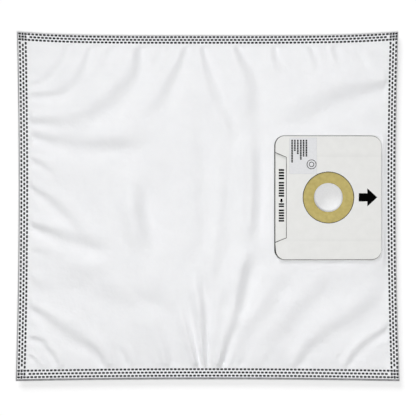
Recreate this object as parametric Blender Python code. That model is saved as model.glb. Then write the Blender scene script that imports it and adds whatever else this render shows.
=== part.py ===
"""Vacuum filter bag, lying flat with its collar card up.

Two sheets of nonwoven fabric are welded together round the edge. A card collar on the front
sheet holds a rubber gasket round the port, and a sliding card that seals the port.
Units are metres. +X runs along the long side, +Y along the short side and +Z up. The origin
is on the ground, under the middle of the bag.
"""
import math

import bpy
import numpy as np
from mathutils import Vector
from mathutils.geometry import delaunay_2d_cdt, tessellate_polygon

# Bag outline
BAG_WIDTH_TOP = 0.4546
BAG_WIDTH_BOTTOM = 0.4574
BAG_HEIGHT = 0.4168
SAG_TOP = 0.0048
SAG_BOTTOM = 0.0022
SAG_LEFT = 0.0028
SAG_RIGHT = 0.0036

# Fabric and weld. The weld's width and the step between its rows of dents differ by side, and
# the rows are placed from its inner edge.
FABRIC = 0.0007
FLANGE = 0.0006
GAP = 0.0003
SEAM_LEFT = 0.0117
SEAM_RIGHT = 0.0106
SEAM_TOP = 0.0104
SEAM_BOTTOM = 0.0141
SEAM_Z = 0.0080
WELD_PITCH_X = 0.0046
WELD_PITCH_Y = 0.0050
WELD_ROW_INSET = 0.0018
WELD_STEP = 0.0035
WELD_STEP_BOTTOM = 0.0039
WELD_DEPTH = 0.00025

# Fullness of the two sheets
DOME_HEIGHT = 0.0130
DOME_REACH = 0.060
SEAM_EASE = 0.0040
REAR_REACH = 0.034

# Collar: sizes are measured from the centre of the port
COLLAR_WIDTH = 0.1272
COLLAR_HEIGHT = 0.1485
COLLAR_CORNER = 0.0120
COLLAR_TO_SEAM = 0.0073
COLLAR_RISE = 0.0032
COLLAR_TILT = math.radians(3.4)
COLLAR_EASE = 0.014
COLLAR_MARGIN = 0.0015
PORT_IN_COLLAR_X = 0.0003
PORT_IN_COLLAR_Y = 0.0007
PORT_Y = 0.0107
CARD = 0.0007
NOTCH_DEPTH = 0.0127
NOTCH_HALF_OUTER = 0.0532
NOTCH_HALF_INNER = 0.0478

# Port, gasket and slide
GASKET_BORE = 0.0345
GASKET_LIP = 0.0006
GASKET_LIP_HALF = 0.00042
GASKET_THICKNESS = 0.0012
GASKET_LAP = 0.0080
GASKET_TAPER = 0.0050
GASKET_SHARP = math.radians(35)
FACE_HOLE = 0.0600
SLIDE_HOLE_STEP = 0.00275
BACK_HOLE_STEP = 0.0020
FABRIC_HOLE_STEP = 0.0020
SEAL_LAP = 0.0035
CHANNEL_HALF = 0.0555
EAR_DEPTH = 0.0060
EAR_LENGTH = 0.0080
RAIL_CORNER = 0.0108
SLIDE_CORNER = 0.0030
SLIDE_INSET = 0.0006

# Label and arrow print
LABEL_WIDTH = 0.0328
LABEL_HEIGHT = 0.0430
LABEL_INSET_X = 0.0169
LABEL_INSET_Y = 0.0026
LABEL_CORNER = 0.0010
LABEL_SEGMENTS = 3
PRINT = 0.00012
ARROW_TAIL = 0.0360
ARROW_SHAFT = 0.0100
ARROW_HEAD = 0.0110
ARROW_HALF_SHAFT = 0.0045
ARROW_HALF_HEAD = 0.0101
ARROW_Y = -0.0006

# Mesh fineness. A crease is followed along its high and low sides: CREASE_STEP is the step along
# it as a share of its half width. NEAREST and the names that start with it are the least
# distances between points, or from them to an edge.
HOLE_SEGMENTS = 48
FACE_HOLE_SEGMENTS = 64
CORNER_SEGMENTS = 6
ZONE_SEGMENTS = 4
ZONE_STEP = 0.012
CREASE_STEP = 1.3
NEAREST = 0.0050
NEAREST_IN_ROW = 0.0045
NEAREST_TO_WELD = 0.0028
NEAREST_TO_COLLAR = 0.0020
CALM_STEP = 0.026
NEAREST_IN_CALM = 0.0143
SLOPE_STEP = 0.0005
MEETING = 1e-7
REAR_SHARES = (0, 0.12, 0.27, 0.45, 0.68, 1.0)
REAR_CALM_SHARES = (0.6, 0.2)

# Creases were read by eye on a square drawing grid of 416 units, with y down. These are the
# bag's middle and half sizes on that grid, and the real size of a unit.
GRID_MIDDLE = (207.7, 206.0)
GRID_HALF_BAG = (191.1, 174.7)
GRID_PITCH = 0.001193

# Each crease is a step in the cloth, high on its upper left side and low on the other. It is a
# path on the drawing grid, a half width on it, and a height in millimetres.
UPPER_LEFT_CREASES = [
    [[(66, 40), (62, 56), (52, 70), (40, 80), (24, 88)], 4, 0.45],
    [[(91, 40), (86, 56), (79, 72), (70, 84), (56, 93), (24, 95)], 4.5, 0.8],
    [[(113, 40), (106, 56), (98, 68), (88, 78)], 4, 0.45],
    [[(139, 40), (134, 70), (127, 82), (116, 94), (102, 106), (88, 116), (74, 122), (24, 121)], 6, 1.5],
    [[(159, 40), (154, 60), (146, 70), (136, 80)], 4, 0.4],
    [[(187, 40), (178, 66), (170, 80), (164, 94), (156, 106), (142, 122)], 5, 1.3],
    [[(24, 131), (50, 138), (78, 142), (108, 143), (132, 142), (144, 139)], 5, 1.0],
    [[(24, 155), (44, 165), (56, 173), (68, 181)], 4, 0.8],
    [[(24, 183), (42, 193), (56, 203), (70, 217), (84, 231), (98, 243)], 4.5, 1.1],
]
CENTRE_CREASES = [
    [[(201, 40), (205, 64), (210, 82), (216, 98), (225, 114), (232, 132), (229, 156)], 4.5, 1.3],
    [[(233, 40), (243, 64), (250, 78), (252, 96), (252, 120), (253, 138)], 4, 1.6],
    [[(252, 124), (254, 150), (255, 180), (254, 214), (252, 252)], 5, 0.9],
    [[(252, 239), (251, 252), (246, 268), (242, 286), (238, 306), (233, 324), (226, 342), (219, 372)],
     5, 2.2],
    [[(222, 150), (225, 190), (221, 240), (216, 290), (214, 346)], 6, 1.0],
    [[(136, 168), (138, 190), (140, 210), (144, 228), (146, 242), (145, 258)], 5.5, 1.9],
    [[(148, 262), (154, 286), (156, 304), (160, 322), (165, 342), (171, 372)], 5.5, 1.1],
    [[(182, 290), (187, 316), (192, 338), (196, 356), (199, 372)], 3.5, 1.3],
    [[(199, 262), (200, 284), (203, 308), (204, 330), (205, 350), (206, 372)], 3.5, 1.7],
]
LEFT_CREASES = [
    [[(24, 222), (50, 231), (66, 236), (86, 242), (104, 247), (120, 255)], 5, 1.4],
    [[(24, 248), (44, 252), (60, 261)], 4, 0.5],
    [[(52, 264), (74, 267), (94, 269), (118, 264), (134, 263)], 5.5, 0.6],
    [[(24, 276), (48, 288), (70, 293)], 6, 0.5],
    [[(84, 293), (106, 304), (132, 319)], 6, 0.5],
    [[(122, 280), (138, 290), (152, 300), (176, 305)], 5, 0.4],
    [[(24, 303), (44, 314), (60, 326), (76, 336), (92, 346), (102, 357), (107, 372)], 5, 2.0],
    [[(24, 336), (42, 340), (48, 348), (56, 358), (59, 372)], 4, 1.2],
    [[(24, 352), (36, 360), (44, 372)], 3, 0.8],
    [[(61, 356), (69, 372)], 3, 0.5],
    [[(104, 347), (119, 347), (127, 356), (131, 372)], 3.5, 0.8],
    [[(134, 353), (150, 356), (156, 372)], 3.5, 0.4],
]
RIGHT_CREASES = [
    [[(250, 40), (255, 60)], 3, 0.4],
    [[(273, 40), (275, 60), (281, 72), (291, 86)], 4, 0.7],
    [[(288, 40), (289, 60)], 3, 0.5],
    [[(305, 40), (312, 54), (315, 64), (314, 78)], 3.5, 1.1],
    [[(332, 40), (335, 56), (343, 72)], 4, 1.1],
    [[(357, 40), (365, 56), (373, 68), (383, 78)], 4, 0.9],
    [[(392, 84), (367, 87), (347, 91), (331, 97), (315, 105), (299, 114), (283, 118), (267, 122)], 7, 0.9],
    [[(392, 114), (371, 127)], 5, 0.5],
    [[(297, 266), (283, 278), (273, 296), (263, 314), (253, 328), (245, 342), (236, 372)], 5, 0.8],
    [[(317, 282), (309, 284), (299, 298)], 6, 0.5],
    [[(371, 264), (351, 288)], 4, 0.5],
    [[(384, 274), (371, 300), (355, 314), (339, 324), (325, 332), (311, 344), (301, 356), (295, 372)],
     6, 1.3],
    [[(392, 324), (371, 338), (359, 348), (349, 360), (345, 372)], 4.5, 1.2],
    [[(373, 354), (365, 372)], 3, 0.7],
    [[(280, 342), (267, 356), (259, 372)], 4, 0.5],
]

# The side that creases are high on, the length over which a loose end fades out, the strip by
# the weld that the creases rise over, how much a crease narrows towards the weld and over what
# length, how far inside the weld an end counts as loose, and how many half widths a crease acts over
HIGH_SIDE = (-0.5, 0.85)
CREASE_FADE = 0.016
CREASE_EASE = 0.0050
CREASE_NARROW = 0.35
NARROW_REACH = 0.030
LOOSE_DEPTH = 0.003
CREASE_REACH = 4

# Values worked out from the driving dimensions
HALF_TOP = BAG_WIDTH_TOP / 2
HALF_BOTTOM = BAG_WIDTH_BOTTOM / 2
HALF_WIDTH = (HALF_TOP + HALF_BOTTOM) / 2
HALF_HEIGHT = BAG_HEIGHT / 2
SEAMS = {"left": SEAM_LEFT, "right": SEAM_RIGHT, "bottom": SEAM_BOTTOM, "top": SEAM_TOP}
ROW_STEPS = {"left": WELD_STEP, "right": WELD_STEP, "bottom": WELD_STEP_BOTTOM, "top": WELD_STEP}
FIELD_LEFT = SEAM_LEFT / HALF_WIDTH - 1
FIELD_RIGHT = 1 - SEAM_RIGHT / HALF_WIDTH
FIELD_LOW = SEAM_BOTTOM / HALF_HEIGHT - 1
FIELD_HIGH = 1 - SEAM_TOP / HALF_HEIGHT
FRONT_RIM_Z = SEAM_Z + FLANGE
REAR_RIM_Z = SEAM_Z - GAP - FLANGE

COLLAR_RIGHT = COLLAR_WIDTH / 2 - PORT_IN_COLLAR_X
COLLAR_LEFT = COLLAR_WIDTH / 2 + PORT_IN_COLLAR_X
COLLAR_UP = COLLAR_HEIGHT / 2 - PORT_IN_COLLAR_Y
COLLAR_DOWN = COLLAR_HEIGHT / 2 + PORT_IN_COLLAR_Y
PORT_Z = FRONT_RIM_Z + COLLAR_RISE + COLLAR_RIGHT * math.sin(COLLAR_TILT)

SLIDE_HOLE = GASKET_BORE / 2 + SLIDE_HOLE_STEP
BACK_HOLE = SLIDE_HOLE + BACK_HOLE_STEP
FABRIC_HOLE = BACK_HOLE + FABRIC_HOLE_STEP
SLIDE_TRAVEL = SLIDE_HOLE + GASKET_BORE / 2 + SEAL_LAP
SLIDE_RIGHT = SLIDE_TRAVEL + GASKET_BORE / 2 + SEAL_LAP

BACK_CARD_W = GAP
SLIDE_W = BACK_CARD_W + CARD + GAP
GASKET_W = SLIDE_W + CARD + GAP
FACE_W = GASKET_W + GASKET_THICKNESS + GAP
PRINT_W = FACE_W + CARD + GAP


def smooth_step(value):
    """Ease from 0 to 1 while the value goes from 0 to 1."""
    value = np.clip(value, 0.0, 1.0)
    return value * value * (3 - 2 * value)


def bag_xy(u, v):
    """Place on the bag for u and v, which run from -1 to 1 across and up it."""
    half = HALF_BOTTOM + (HALF_TOP - HALF_BOTTOM) * (1 + v) / 2
    sag_x = (SAG_RIGHT * (1 + u) - SAG_LEFT * (1 - u)) / 2
    sag_y = (SAG_TOP * (1 + v) - SAG_BOTTOM * (1 - v)) / 2
    return u * half - sag_x * (1 - v * v), v * HALF_HEIGHT - sag_y * (1 - u * u)


def collar_limit():
    """Where the weld's inner edge comes nearest over the height of the collar."""
    heights = (PORT_Y - COLLAR_DOWN, PORT_Y, PORT_Y + COLLAR_UP)
    return min(bag_xy(FIELD_RIGHT, height / HALF_HEIGHT)[0] for height in heights)


PORT_X = collar_limit() - COLLAR_TO_SEAM - COLLAR_RIGHT


def bag_uv(x, y):
    """The u and v of a place on the bag, found by repeated correction."""
    u = x / HALF_WIDTH
    v = y / HALF_HEIGHT
    for _ in range(8):
        found_x, found_y = bag_xy(u, v)
        u = u + (x - found_x) / HALF_WIDTH
        v = v + (y - found_y) / HALF_HEIGHT
    return u, v


def grid_to_bag(point):
    """Place on the bag for a point of the drawing grid."""
    return ((point[0] - GRID_MIDDLE[0]) / GRID_HALF_BAG[0] * HALF_WIDTH,
            (GRID_MIDDLE[1] - point[1]) / GRID_HALF_BAG[1] * HALF_HEIGHT)


def edge_distances(u, v):
    """Distances inside the weld's inner line, from the right, left, top and bottom."""
    return ((FIELD_RIGHT - u) * HALF_WIDTH, (u - FIELD_LEFT) * HALF_WIDTH,
            (FIELD_HIGH - v) * HALF_HEIGHT, (v - FIELD_LOW) * HALF_HEIGHT)


def smooth_path(points, steps=7):
    """A smooth curve through the points, as an array of places."""
    points = [np.array(point, float) for point in points]
    padded = [2 * points[0] - points[1]] + points + [2 * points[-1] - points[-2]]
    path = []
    for index in range(1, len(padded) - 2):
        before, start, end, after = padded[index - 1:index + 3]
        for step in range(steps):
            t = step / steps
            path.append(0.5 * (2 * start + (end - before) * t
                               + (2 * before - 5 * start + 4 * end - after) * t * t
                               + (3 * start - before - 3 * end + after) * t ** 3))
    path.append(points[-1])
    return np.array(path)


class Crease:
    """A step in the cloth along a path, high on one side and low on the other."""

    def __init__(self, points, width, height):
        self.path = smooth_path([grid_to_bag(point) for point in points])
        self.steps = np.diff(self.path, axis=0)
        self.lengths = np.hypot(self.steps[:, 0], self.steps[:, 1])
        self.travelled = np.concatenate([[0.0], np.cumsum(self.lengths)])
        self.loose = [min(edge_distances(*bag_uv(*place))) > LOOSE_DEPTH
                      for place in (self.path[0], self.path[-1])]
        along = self.path[-1] - self.path[0]
        high_on_left = HIGH_SIDE[1] * along[0] - HIGH_SIDE[0] * along[1] > 0
        self.width = width * GRID_PITCH
        self.height = height / 1000 if high_on_left else -height / 1000

    def ends(self, along):
        """For both ends, whether it is loose and how far it is from places along the path."""
        return zip(self.loose, (along, self.travelled[-1] - along))

    def width_at(self, along):
        """Half width at places along the path: narrower where the path meets the weld."""
        width = self.width
        for loose, distance in self.ends(along):
            if not loose:
                width = width * (1 - CREASE_NARROW * (1 - smooth_step(distance / NARROW_REACH)))
        return width

    def height_at(self, along):
        """Height at places along the path: it fades out at a loose end."""
        height = self.height
        for loose, distance in self.ends(along):
            if loose:
                height = height * smooth_step(distance / CREASE_FADE)
        return height

    def added(self, x, y):
        """Height that the crease adds at each place."""
        reach = CREASE_REACH * self.width
        low = self.path.min(axis=0) - reach
        high = self.path.max(axis=0) + reach
        near = (x > low[0]) & (x < high[0]) & (y > low[1]) & (y < high[1])
        added = np.zeros(x.shape)
        x = x[near]
        y = y[near]
        nearest = np.full(x.shape, 1.0)
        along = np.zeros(x.shape)
        side = np.zeros(x.shape)
        for index, (start, step) in enumerate(zip(self.path, self.steps)):
            length = self.lengths[index]
            share = ((x - start[0]) * step[0] + (y - start[1]) * step[1]) / length ** 2
            share = np.clip(share, 0.0, 1.0)
            away = np.hypot(x - start[0] - share * step[0], y - start[1] - share * step[1])
            across = step[0] * (y - start[1]) - step[1] * (x - start[0])
            closer = away < nearest
            nearest = np.where(closer, away, nearest)
            along = np.where(closer, self.travelled[index] + share * length, along)
            side = np.where(closer, np.sign(across), side)
        share = side * nearest / self.width_at(along)
        added[near] = self.height_at(along) * share * np.exp((1 - share ** 2) / 2)
        return added

    def rows(self):
        """Places along the high and the low side of the step."""
        length = self.travelled[-1]
        count = max(round(length / (CREASE_STEP * self.width)), 2)
        places = []
        for index in range(count + 1):
            distance = length * index / count
            x = np.interp(distance, self.travelled, self.path[:, 0])
            y = np.interp(distance, self.travelled, self.path[:, 1])
            after = int(np.searchsorted(self.travelled, distance, side="right"))
            segment = min(after, len(self.steps)) - 1
            along = self.steps[segment] / self.lengths[segment]
            width = self.width_at(distance)
            for side in (-1, 1):
                places.append((x - along[1] * side * width, y + along[0] * side * width))
        return places


CREASES = [Crease(*drawn)
           for drawn in UPPER_LEFT_CREASES + CENTRE_CREASES + LEFT_CREASES + RIGHT_CREASES]


def collar_distance(x, y):
    """Distance outside the collar's rounded outline, negative inside it."""
    centre_x = PORT_X + (COLLAR_RIGHT - COLLAR_LEFT) / 2
    centre_y = PORT_Y + (COLLAR_UP - COLLAR_DOWN) / 2
    beyond_x = np.abs(x - centre_x) - COLLAR_WIDTH / 2 + COLLAR_CORNER
    beyond_y = np.abs(y - centre_y) - COLLAR_HEIGHT / 2 + COLLAR_CORNER
    outside = np.hypot(np.maximum(beyond_x, 0), np.maximum(beyond_y, 0))
    inside = np.minimum(np.maximum(beyond_x, beyond_y), 0)
    return outside + inside - COLLAR_CORNER


def front_height(x, y):
    """Height of the front sheet's outer face."""
    u, v = bag_uv(x, y)
    edges = edge_distances(u, v)
    dome = DOME_HEIGHT
    for edge in edges:
        dome = dome * (1 - np.exp(-np.maximum(edge, 0) / DOME_REACH))
    nearest = np.minimum.reduce(edges)
    creases = sum(crease.added(x, y) for crease in CREASES)
    free = dome + creases * smooth_step(nearest / CREASE_EASE)
    flat = PORT_Z - FRONT_RIM_Z - (x - PORT_X) * math.tan(COLLAR_TILT)
    hold = 1 - smooth_step((collar_distance(x, y) - COLLAR_MARGIN) / COLLAR_EASE)
    raised = free + (flat - free) * hold
    return FRONT_RIM_Z + raised * smooth_step(nearest / SEAM_EASE)


def rear_height(u, v):
    """Height of the rear sheet's outer face: flat on the ground and rising to the weld."""
    low = 1.0
    for edge in edge_distances(u, v):
        low = low * (1 - np.maximum(1 - np.maximum(edge, 0) / REAR_REACH, 0) ** 2)
    return REAR_RIM_Z * (1 - low)


def material(name, colour, roughness):
    """A plain surface in one colour."""
    made = bpy.data.materials.new(name)
    made.use_nodes = True
    shader = made.node_tree.nodes["Principled BSDF"]
    shader.inputs["Base Color"].default_value = (*colour, 1.0)
    shader.inputs["Roughness"].default_value = roughness
    shader.inputs["Metallic"].default_value = 0.0
    return made


def make_object(name, points, faces, surface, parent=None):
    """One object from its points and faces."""
    mesh = bpy.data.meshes.new(name)
    mesh.from_pydata([tuple(point) for point in points], [], faces)
    mesh.validate()
    mesh.update()
    mesh.materials.append(surface)
    made = bpy.data.objects.new(name, mesh)
    made.parent = parent
    bpy.context.scene.collection.objects.link(made)
    return made


def side_counts():
    """Number of weld pitches on the top or bottom side and on the left or right side.

    Both are even, so that a plain edge point stands at every second pitch.
    """
    across = 2 * max(round(2 * HALF_WIDTH / WELD_PITCH_X / 2), 4)
    upward = 2 * max(round(BAG_HEIGHT / WELD_PITCH_Y / 2), 4)
    return across, upward


def dent_row(number):
    """Insets on each side of one of the weld's three rows of dents."""
    return {side: seam - WELD_ROW_INSET - ROW_STEPS[side] * (2 - number) for side, seam in SEAMS.items()}


def rim_loop(insets, per_pitch):
    """Places round the bag at an inset for each side, anticlockwise from the lower left.

    per_pitch is the number of places for each weld pitch, which may be one half.
    """
    left = insets["left"] / HALF_WIDTH - 1
    right = 1 - insets["right"] / HALF_WIDTH
    low = insets["bottom"] / HALF_HEIGHT - 1
    high = 1 - insets["top"] / HALF_HEIGHT
    across, upward = (round(count * per_pitch) for count in side_counts())
    corners = [(left, low), (right, low), (right, high), (left, high)]
    places = []
    for side, count in enumerate((across, upward, across, upward)):
        start = corners[side]
        end = corners[(side + 1) % 4]
        for index in range(count):
            share = index / count
            u = start[0] + (end[0] - start[0]) * share
            v = start[1] + (end[1] - start[1]) * share
            places.append(bag_xy(u, v))
    return places


def circle(radius, segments=HOLE_SEGMENTS):
    """Points of a circle, anticlockwise."""
    turns = [2 * math.pi * index / segments for index in range(segments)]
    return [(radius * math.cos(turn), radius * math.sin(turn)) for turn in turns]


def rounded(corners, segments=CORNER_SEGMENTS):
    """Outline through corners given as (x, y, radius), anticlockwise, each corner an arc."""
    outline = []
    count = len(corners)
    for index, (x, y, radius) in enumerate(corners):
        here = Vector((x, y))
        if radius == 0:
            outline.append((x, y))
            continue
        back = (Vector(corners[index - 1][:2]) - here).normalized()
        ahead = (Vector(corners[(index + 1) % count][:2]) - here).normalized()
        half = back.angle(ahead) / 2
        centre = here + (back + ahead).normalized() * radius / math.sin(half)
        first = here + back * radius / math.tan(half) - centre
        last = here + ahead * radius / math.tan(half) - centre
        turn = first.angle_signed(last)
        for step in range(segments + 1):
            spoke = first.copy()
            angle = -turn * step / segments
            outline.append((centre.x + spoke.x * math.cos(angle) - spoke.y * math.sin(angle),
                            centre.y + spoke.x * math.sin(angle) + spoke.y * math.cos(angle)))
    return outline


def plate(name, loops, low, thickness, surface, parent):
    """A flat plate between two heights: the first loop is its outline, the rest are holes."""
    flat = [Vector((x, y, 0)) for loop in loops for x, y in loop]
    count = len(flat)
    faces = []
    starts = []
    start = 0
    for loop in loops:
        starts.append(start)
        start += len(loop)
    for triangle in tessellate_polygon([[Vector((x, y, 0)) for x, y in loop] for loop in loops]):
        a, b, c = (flat[index] for index in triangle)
        if (b - a).cross(c - a).z < 0:
            triangle = tuple(reversed(triangle))
        faces.append(tuple(index + count for index in triangle))
        faces.append(tuple(reversed(triangle)))
    for number, loop in enumerate(loops):
        for index in range(len(loop)):
            a = starts[number] + index
            b = starts[number] + (index + 1) % len(loop)
            wall = (a, b, b + count, a + count)
            faces.append(wall if number == 0 else tuple(reversed(wall)))
    points = [(point.x, point.y, low) for point in flat]
    points += [(point.x, point.y, low + thickness) for point in flat]
    return make_object(name, points, faces, surface, parent)


class Spacing:
    """Places kept so far, on a coarse grid, so that a new one too near them can be left out."""

    def __init__(self, cell):
        self.cell = cell
        self.cells = {}

    def key(self, place):
        return int(math.floor(place[0] / self.cell)), int(math.floor(place[1] / self.cell))

    def clear(self, place, distance):
        column, row = self.key(place)
        reach = int(math.ceil(distance / self.cell))
        for i in range(column - reach, column + reach + 1):
            for j in range(row - reach, row + reach + 1):
                for other in self.cells.get((i, j), []):
                    if math.dist(place, other) < distance:
                        return False
        return True

    def add(self, place):
        self.cells.setdefault(self.key(place), []).append(place)


def collar_zone():
    """Outline of the flat ground under the collar, a little wider than the collar."""
    grow = COLLAR_MARGIN
    left = PORT_X - COLLAR_LEFT - grow
    right = PORT_X + COLLAR_RIGHT + grow
    low = PORT_Y - COLLAR_DOWN - grow
    high = PORT_Y + COLLAR_UP + grow
    corner = COLLAR_CORNER + grow
    corners = [(left, low, corner), (right, low, corner), (right, high, corner), (left, high, corner)]
    outline = rounded(corners, ZONE_SEGMENTS)
    result = []
    for index, start in enumerate(outline):
        end = outline[(index + 1) % len(outline)]
        pieces = max(round(math.dist(start, end) / ZONE_STEP), 1)
        for piece in range(pieces):
            share = piece / pieces
            x = start[0] + (end[0] - start[0]) * share
            y = start[1] + (end[1] - start[1]) * share
            result.append((x, y))
    return result


def crease_places():
    """Places along both sides of every crease, the strongest creases first."""
    places = []
    for crease in sorted(CREASES, key=lambda crease: -abs(crease.height)):
        places += crease.rows()
    return places


def front_places(edge, zone, hole):
    """Free places of the front sheet, in order: a row by the weld, the creases, the calm areas."""
    kept = Spacing(NEAREST)
    for place in edge + zone + hole:
        kept.add(place)
    chosen = []

    def offer(place, distance):
        u, v = bag_uv(*place)
        by_weld = min(edge_distances(u, v)) < NEAREST_TO_WELD
        by_collar = collar_distance(*place) < COLLAR_MARGIN + NEAREST_TO_COLLAR
        if by_weld or by_collar:
            return
        if kept.clear(place, distance):
            kept.add(place)
            chosen.append(place)

    by_seam = {side: seam + SEAM_EASE for side, seam in SEAMS.items()}
    for place in rim_loop(by_seam, 0.5):
        offer(place, NEAREST_IN_ROW)
    for place in crease_places():
        offer(place, NEAREST)
    row_step = CALM_STEP * math.sqrt(3) / 2
    for row in range(math.ceil(2 * HALF_HEIGHT / row_step) + 1):
        for column in range(math.ceil(2 * HALF_WIDTH / CALM_STEP) + 1):
            x = -HALF_WIDTH + (column + 0.5 * (row % 2)) * CALM_STEP
            y = -HALF_HEIGHT + row * row_step
            offer((x, y), NEAREST_IN_CALM)
    return chosen


def closed_edges(start, count):
    """Index pairs round a closed loop."""
    return [(start + index, start + (index + 1) % count) for index in range(count)]


def front_triangles(places, loops):
    """Triangles between all places, kept clear of the port and of the ground outside."""
    edges = []
    start = 0
    for loop in loops:
        edges += closed_edges(start, len(loop))
        start += len(loop)
    points, _, triangles, origin, _, _ = delaunay_2d_cdt(
        [Vector(place) for place in places], edges, [], 0, MEETING)
    rename = [sources[0] for sources in origin]
    edge_count = len(loops[0])
    hole_start = len(loops[0]) + len(loops[1])
    hole_end = hole_start + len(loops[2])
    across, upward = (count // 2 for count in side_counts())
    sides = [across, across + upward, 2 * across + upward, edge_count]
    kept = []
    for triangle in triangles:
        named = [rename[index] for index in triangle]
        if all(hole_start <= index < hole_end for index in named):
            continue
        if all(index < edge_count for index in named):
            firsts = [0] + sides[:-1]
            same_side = any(all(first <= index <= last for index in named)
                            or (last == edge_count and all(index >= first or index == 0 for index in named))
                            for first, last in zip(firsts, sides))
            if same_side:
                continue
        a, b, c = (Vector(places[index]) for index in named)
        if (b - a).cross(c - a) < 0:
            named.reverse()
        kept.append(tuple(named))
    return kept


def make_front_panel(surface):
    """The creased front sheet, with its port and the dashes of the weld."""
    edge = rim_loop(SEAMS, 0.5)
    zone = collar_zone()
    hole = [(x + PORT_X, y + PORT_Y) for x, y in circle(FABRIC_HOLE)]
    places = edge + zone + hole
    places += front_places(edge, zone, hole)
    triangles = front_triangles(places, (edge, zone, hole))
    x_all, y_all = np.array(places).T
    heights = front_height(x_all, y_all)
    slope_x = (front_height(x_all + SLOPE_STEP, y_all) - heights) / SLOPE_STEP
    slope_y = (front_height(x_all, y_all + SLOPE_STEP) - heights) / SLOPE_STEP
    stretch = np.sqrt(1 + slope_x ** 2 + slope_y ** 2)
    edge_count = len(edge)
    hole_start = edge_count + len(zone)
    hole_end = hole_start + len(hole)
    points = [(x, y, z) for (x, y), z in zip(places, heights)]
    count = len(points)
    for index, (x, y) in enumerate(places):
        if index < edge_count:
            points.append((x, y, SEAM_Z))
        else:
            deep = FABRIC / stretch[index]
            points.append((x + slope_x[index] * deep, y + slope_y[index] * deep, heights[index] - deep))
    faces = list(triangles)
    faces += [tuple(index + count for index in reversed(triangle)) for triangle in triangles]
    for a, b in closed_edges(hole_start, hole_end - hole_start):
        faces.append((a, b, b + count, a + count))
    add_weld_rim(points, faces, list(range(edge_count)), list(range(count, count + edge_count)))
    return make_object("front_panel", points, faces, surface)


def add_weld_rim(points, faces, inner_top, inner_bottom):
    """The welded rim outside the two inner loops: three rows of dents, staggered."""
    outer = rim_loop(dict.fromkeys(SEAMS, 0.0), 0.5)
    outer_top = add_loop(points, outer, [FRONT_RIM_Z] * len(outer))
    outer_bottom = add_loop(points, outer, [SEAM_Z] * len(outer))
    rows = []
    for number in range(3):
        loop = rim_loop(dent_row(number), 2)
        heights = [FRONT_RIM_Z - WELD_DEPTH * ((index + number) % 2 == 0) for index in range(len(loop))]
        rows.append(add_loop(points, loop, heights))
    bridge_coarse(faces, outer_top, rows[0], coarse_outside=True)
    for outside, inside in zip(rows, rows[1:]):
        bridge_even(faces, outside, inside)
    bridge_coarse(faces, inner_top, rows[2], coarse_outside=False)
    bridge_even(faces, inner_bottom, outer_bottom)
    bridge_even(faces, outer_bottom, outer_top)


def add_loop(points, places, heights):
    """Append the places at their heights and return their indices."""
    start = len(points)
    points += [(x, y, z) for (x, y), z in zip(places, heights)]
    return list(range(start, len(points)))


def bridge_even(faces, outside, inside):
    """Two triangles for each step between two loops with the same number of points."""
    count = len(outside)
    for index in range(count):
        after = (index + 1) % count
        if index % 2:
            faces.append((outside[index], outside[after], inside[after]))
            faces.append((outside[index], inside[after], inside[index]))
        else:
            faces.append((outside[index], outside[after], inside[index]))
            faces.append((outside[after], inside[after], inside[index]))


def bridge_coarse(faces, coarse, fine, coarse_outside):
    """Triangles between a loop and another with four times as many points."""
    count = len(coarse)
    for index in range(count):
        first = coarse[index]
        last = coarse[(index + 1) % count]
        run = [fine[(4 * index + step) % len(fine)] for step in range(5)]
        made = [(first, run[1], run[0]), (first, run[2], run[1]), (first, last, run[2]),
                (last, run[3], run[2]), (last, run[4], run[3])]
        faces += made if coarse_outside else [tuple(reversed(triangle)) for triangle in made]


def rear_lines(first, last, half):
    """Grid lines between two sides of the rear sheet, closer together where it curves."""
    lines = [-1.0, 1.0]
    for share in REAR_SHARES:
        lines.append((SEAMS[first] + share * REAR_REACH) / half - 1)
        lines.append(1 - (SEAMS[last] + share * REAR_REACH) / half)
    middle = (lines[-1] + lines[-2]) / 2
    reach = (lines[-1] - lines[-2]) / 2
    for share in REAR_CALM_SHARES:
        lines += [middle - share * reach, middle + share * reach]
    return sorted(lines)


def make_rear_panel(surface):
    """The rear sheet, flat on the ground, as one closed sheet."""
    u_lines = rear_lines("left", "right", HALF_WIDTH)
    v_lines = rear_lines("bottom", "top", HALF_HEIGHT)
    columns = len(u_lines)
    rows = len(v_lines)
    outer = []
    inner = []
    for row, v in enumerate(v_lines):
        for column, u in enumerate(u_lines):
            x, y = bag_xy(u, v)
            z = float(rear_height(u, v))
            on_rim = row in (0, rows - 1) or column in (0, columns - 1)
            by_rim = row in (1, rows - 2) or column in (1, columns - 2)
            outer.append((x, y, z))
            inner.append((x, y, z + (FLANGE if on_rim or by_rim else FABRIC)))
    points = outer + inner
    count = len(outer)
    faces = []
    for row in range(rows - 1):
        for column in range(columns - 1):
            a = row * columns + column
            quad = (a, a + 1, a + 1 + columns, a + columns)
            faces.append(tuple(reversed(quad)))
            faces.append(tuple(index + count for index in quad))
    border = [column for column in range(columns - 1)]
    border += [row * columns + columns - 1 for row in range(rows - 1)]
    border += [(rows - 1) * columns + column for column in range(columns - 1, 0, -1)]
    border += [row * columns for row in range(rows - 1, 0, -1)]
    for index, a in enumerate(border):
        b = border[(index + 1) % len(border)]
        faces.append((a, b, b + count, a + count))
    return make_object("rear_panel", points, faces, surface)


def collar_corners():
    """Corners of the collar card with their radii, from the centre of the port."""
    return [(-COLLAR_LEFT, -COLLAR_DOWN, COLLAR_CORNER), (COLLAR_RIGHT, -COLLAR_DOWN, COLLAR_CORNER),
            (COLLAR_RIGHT, COLLAR_UP, COLLAR_CORNER), (-COLLAR_LEFT, COLLAR_UP, COLLAR_CORNER)]


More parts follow.
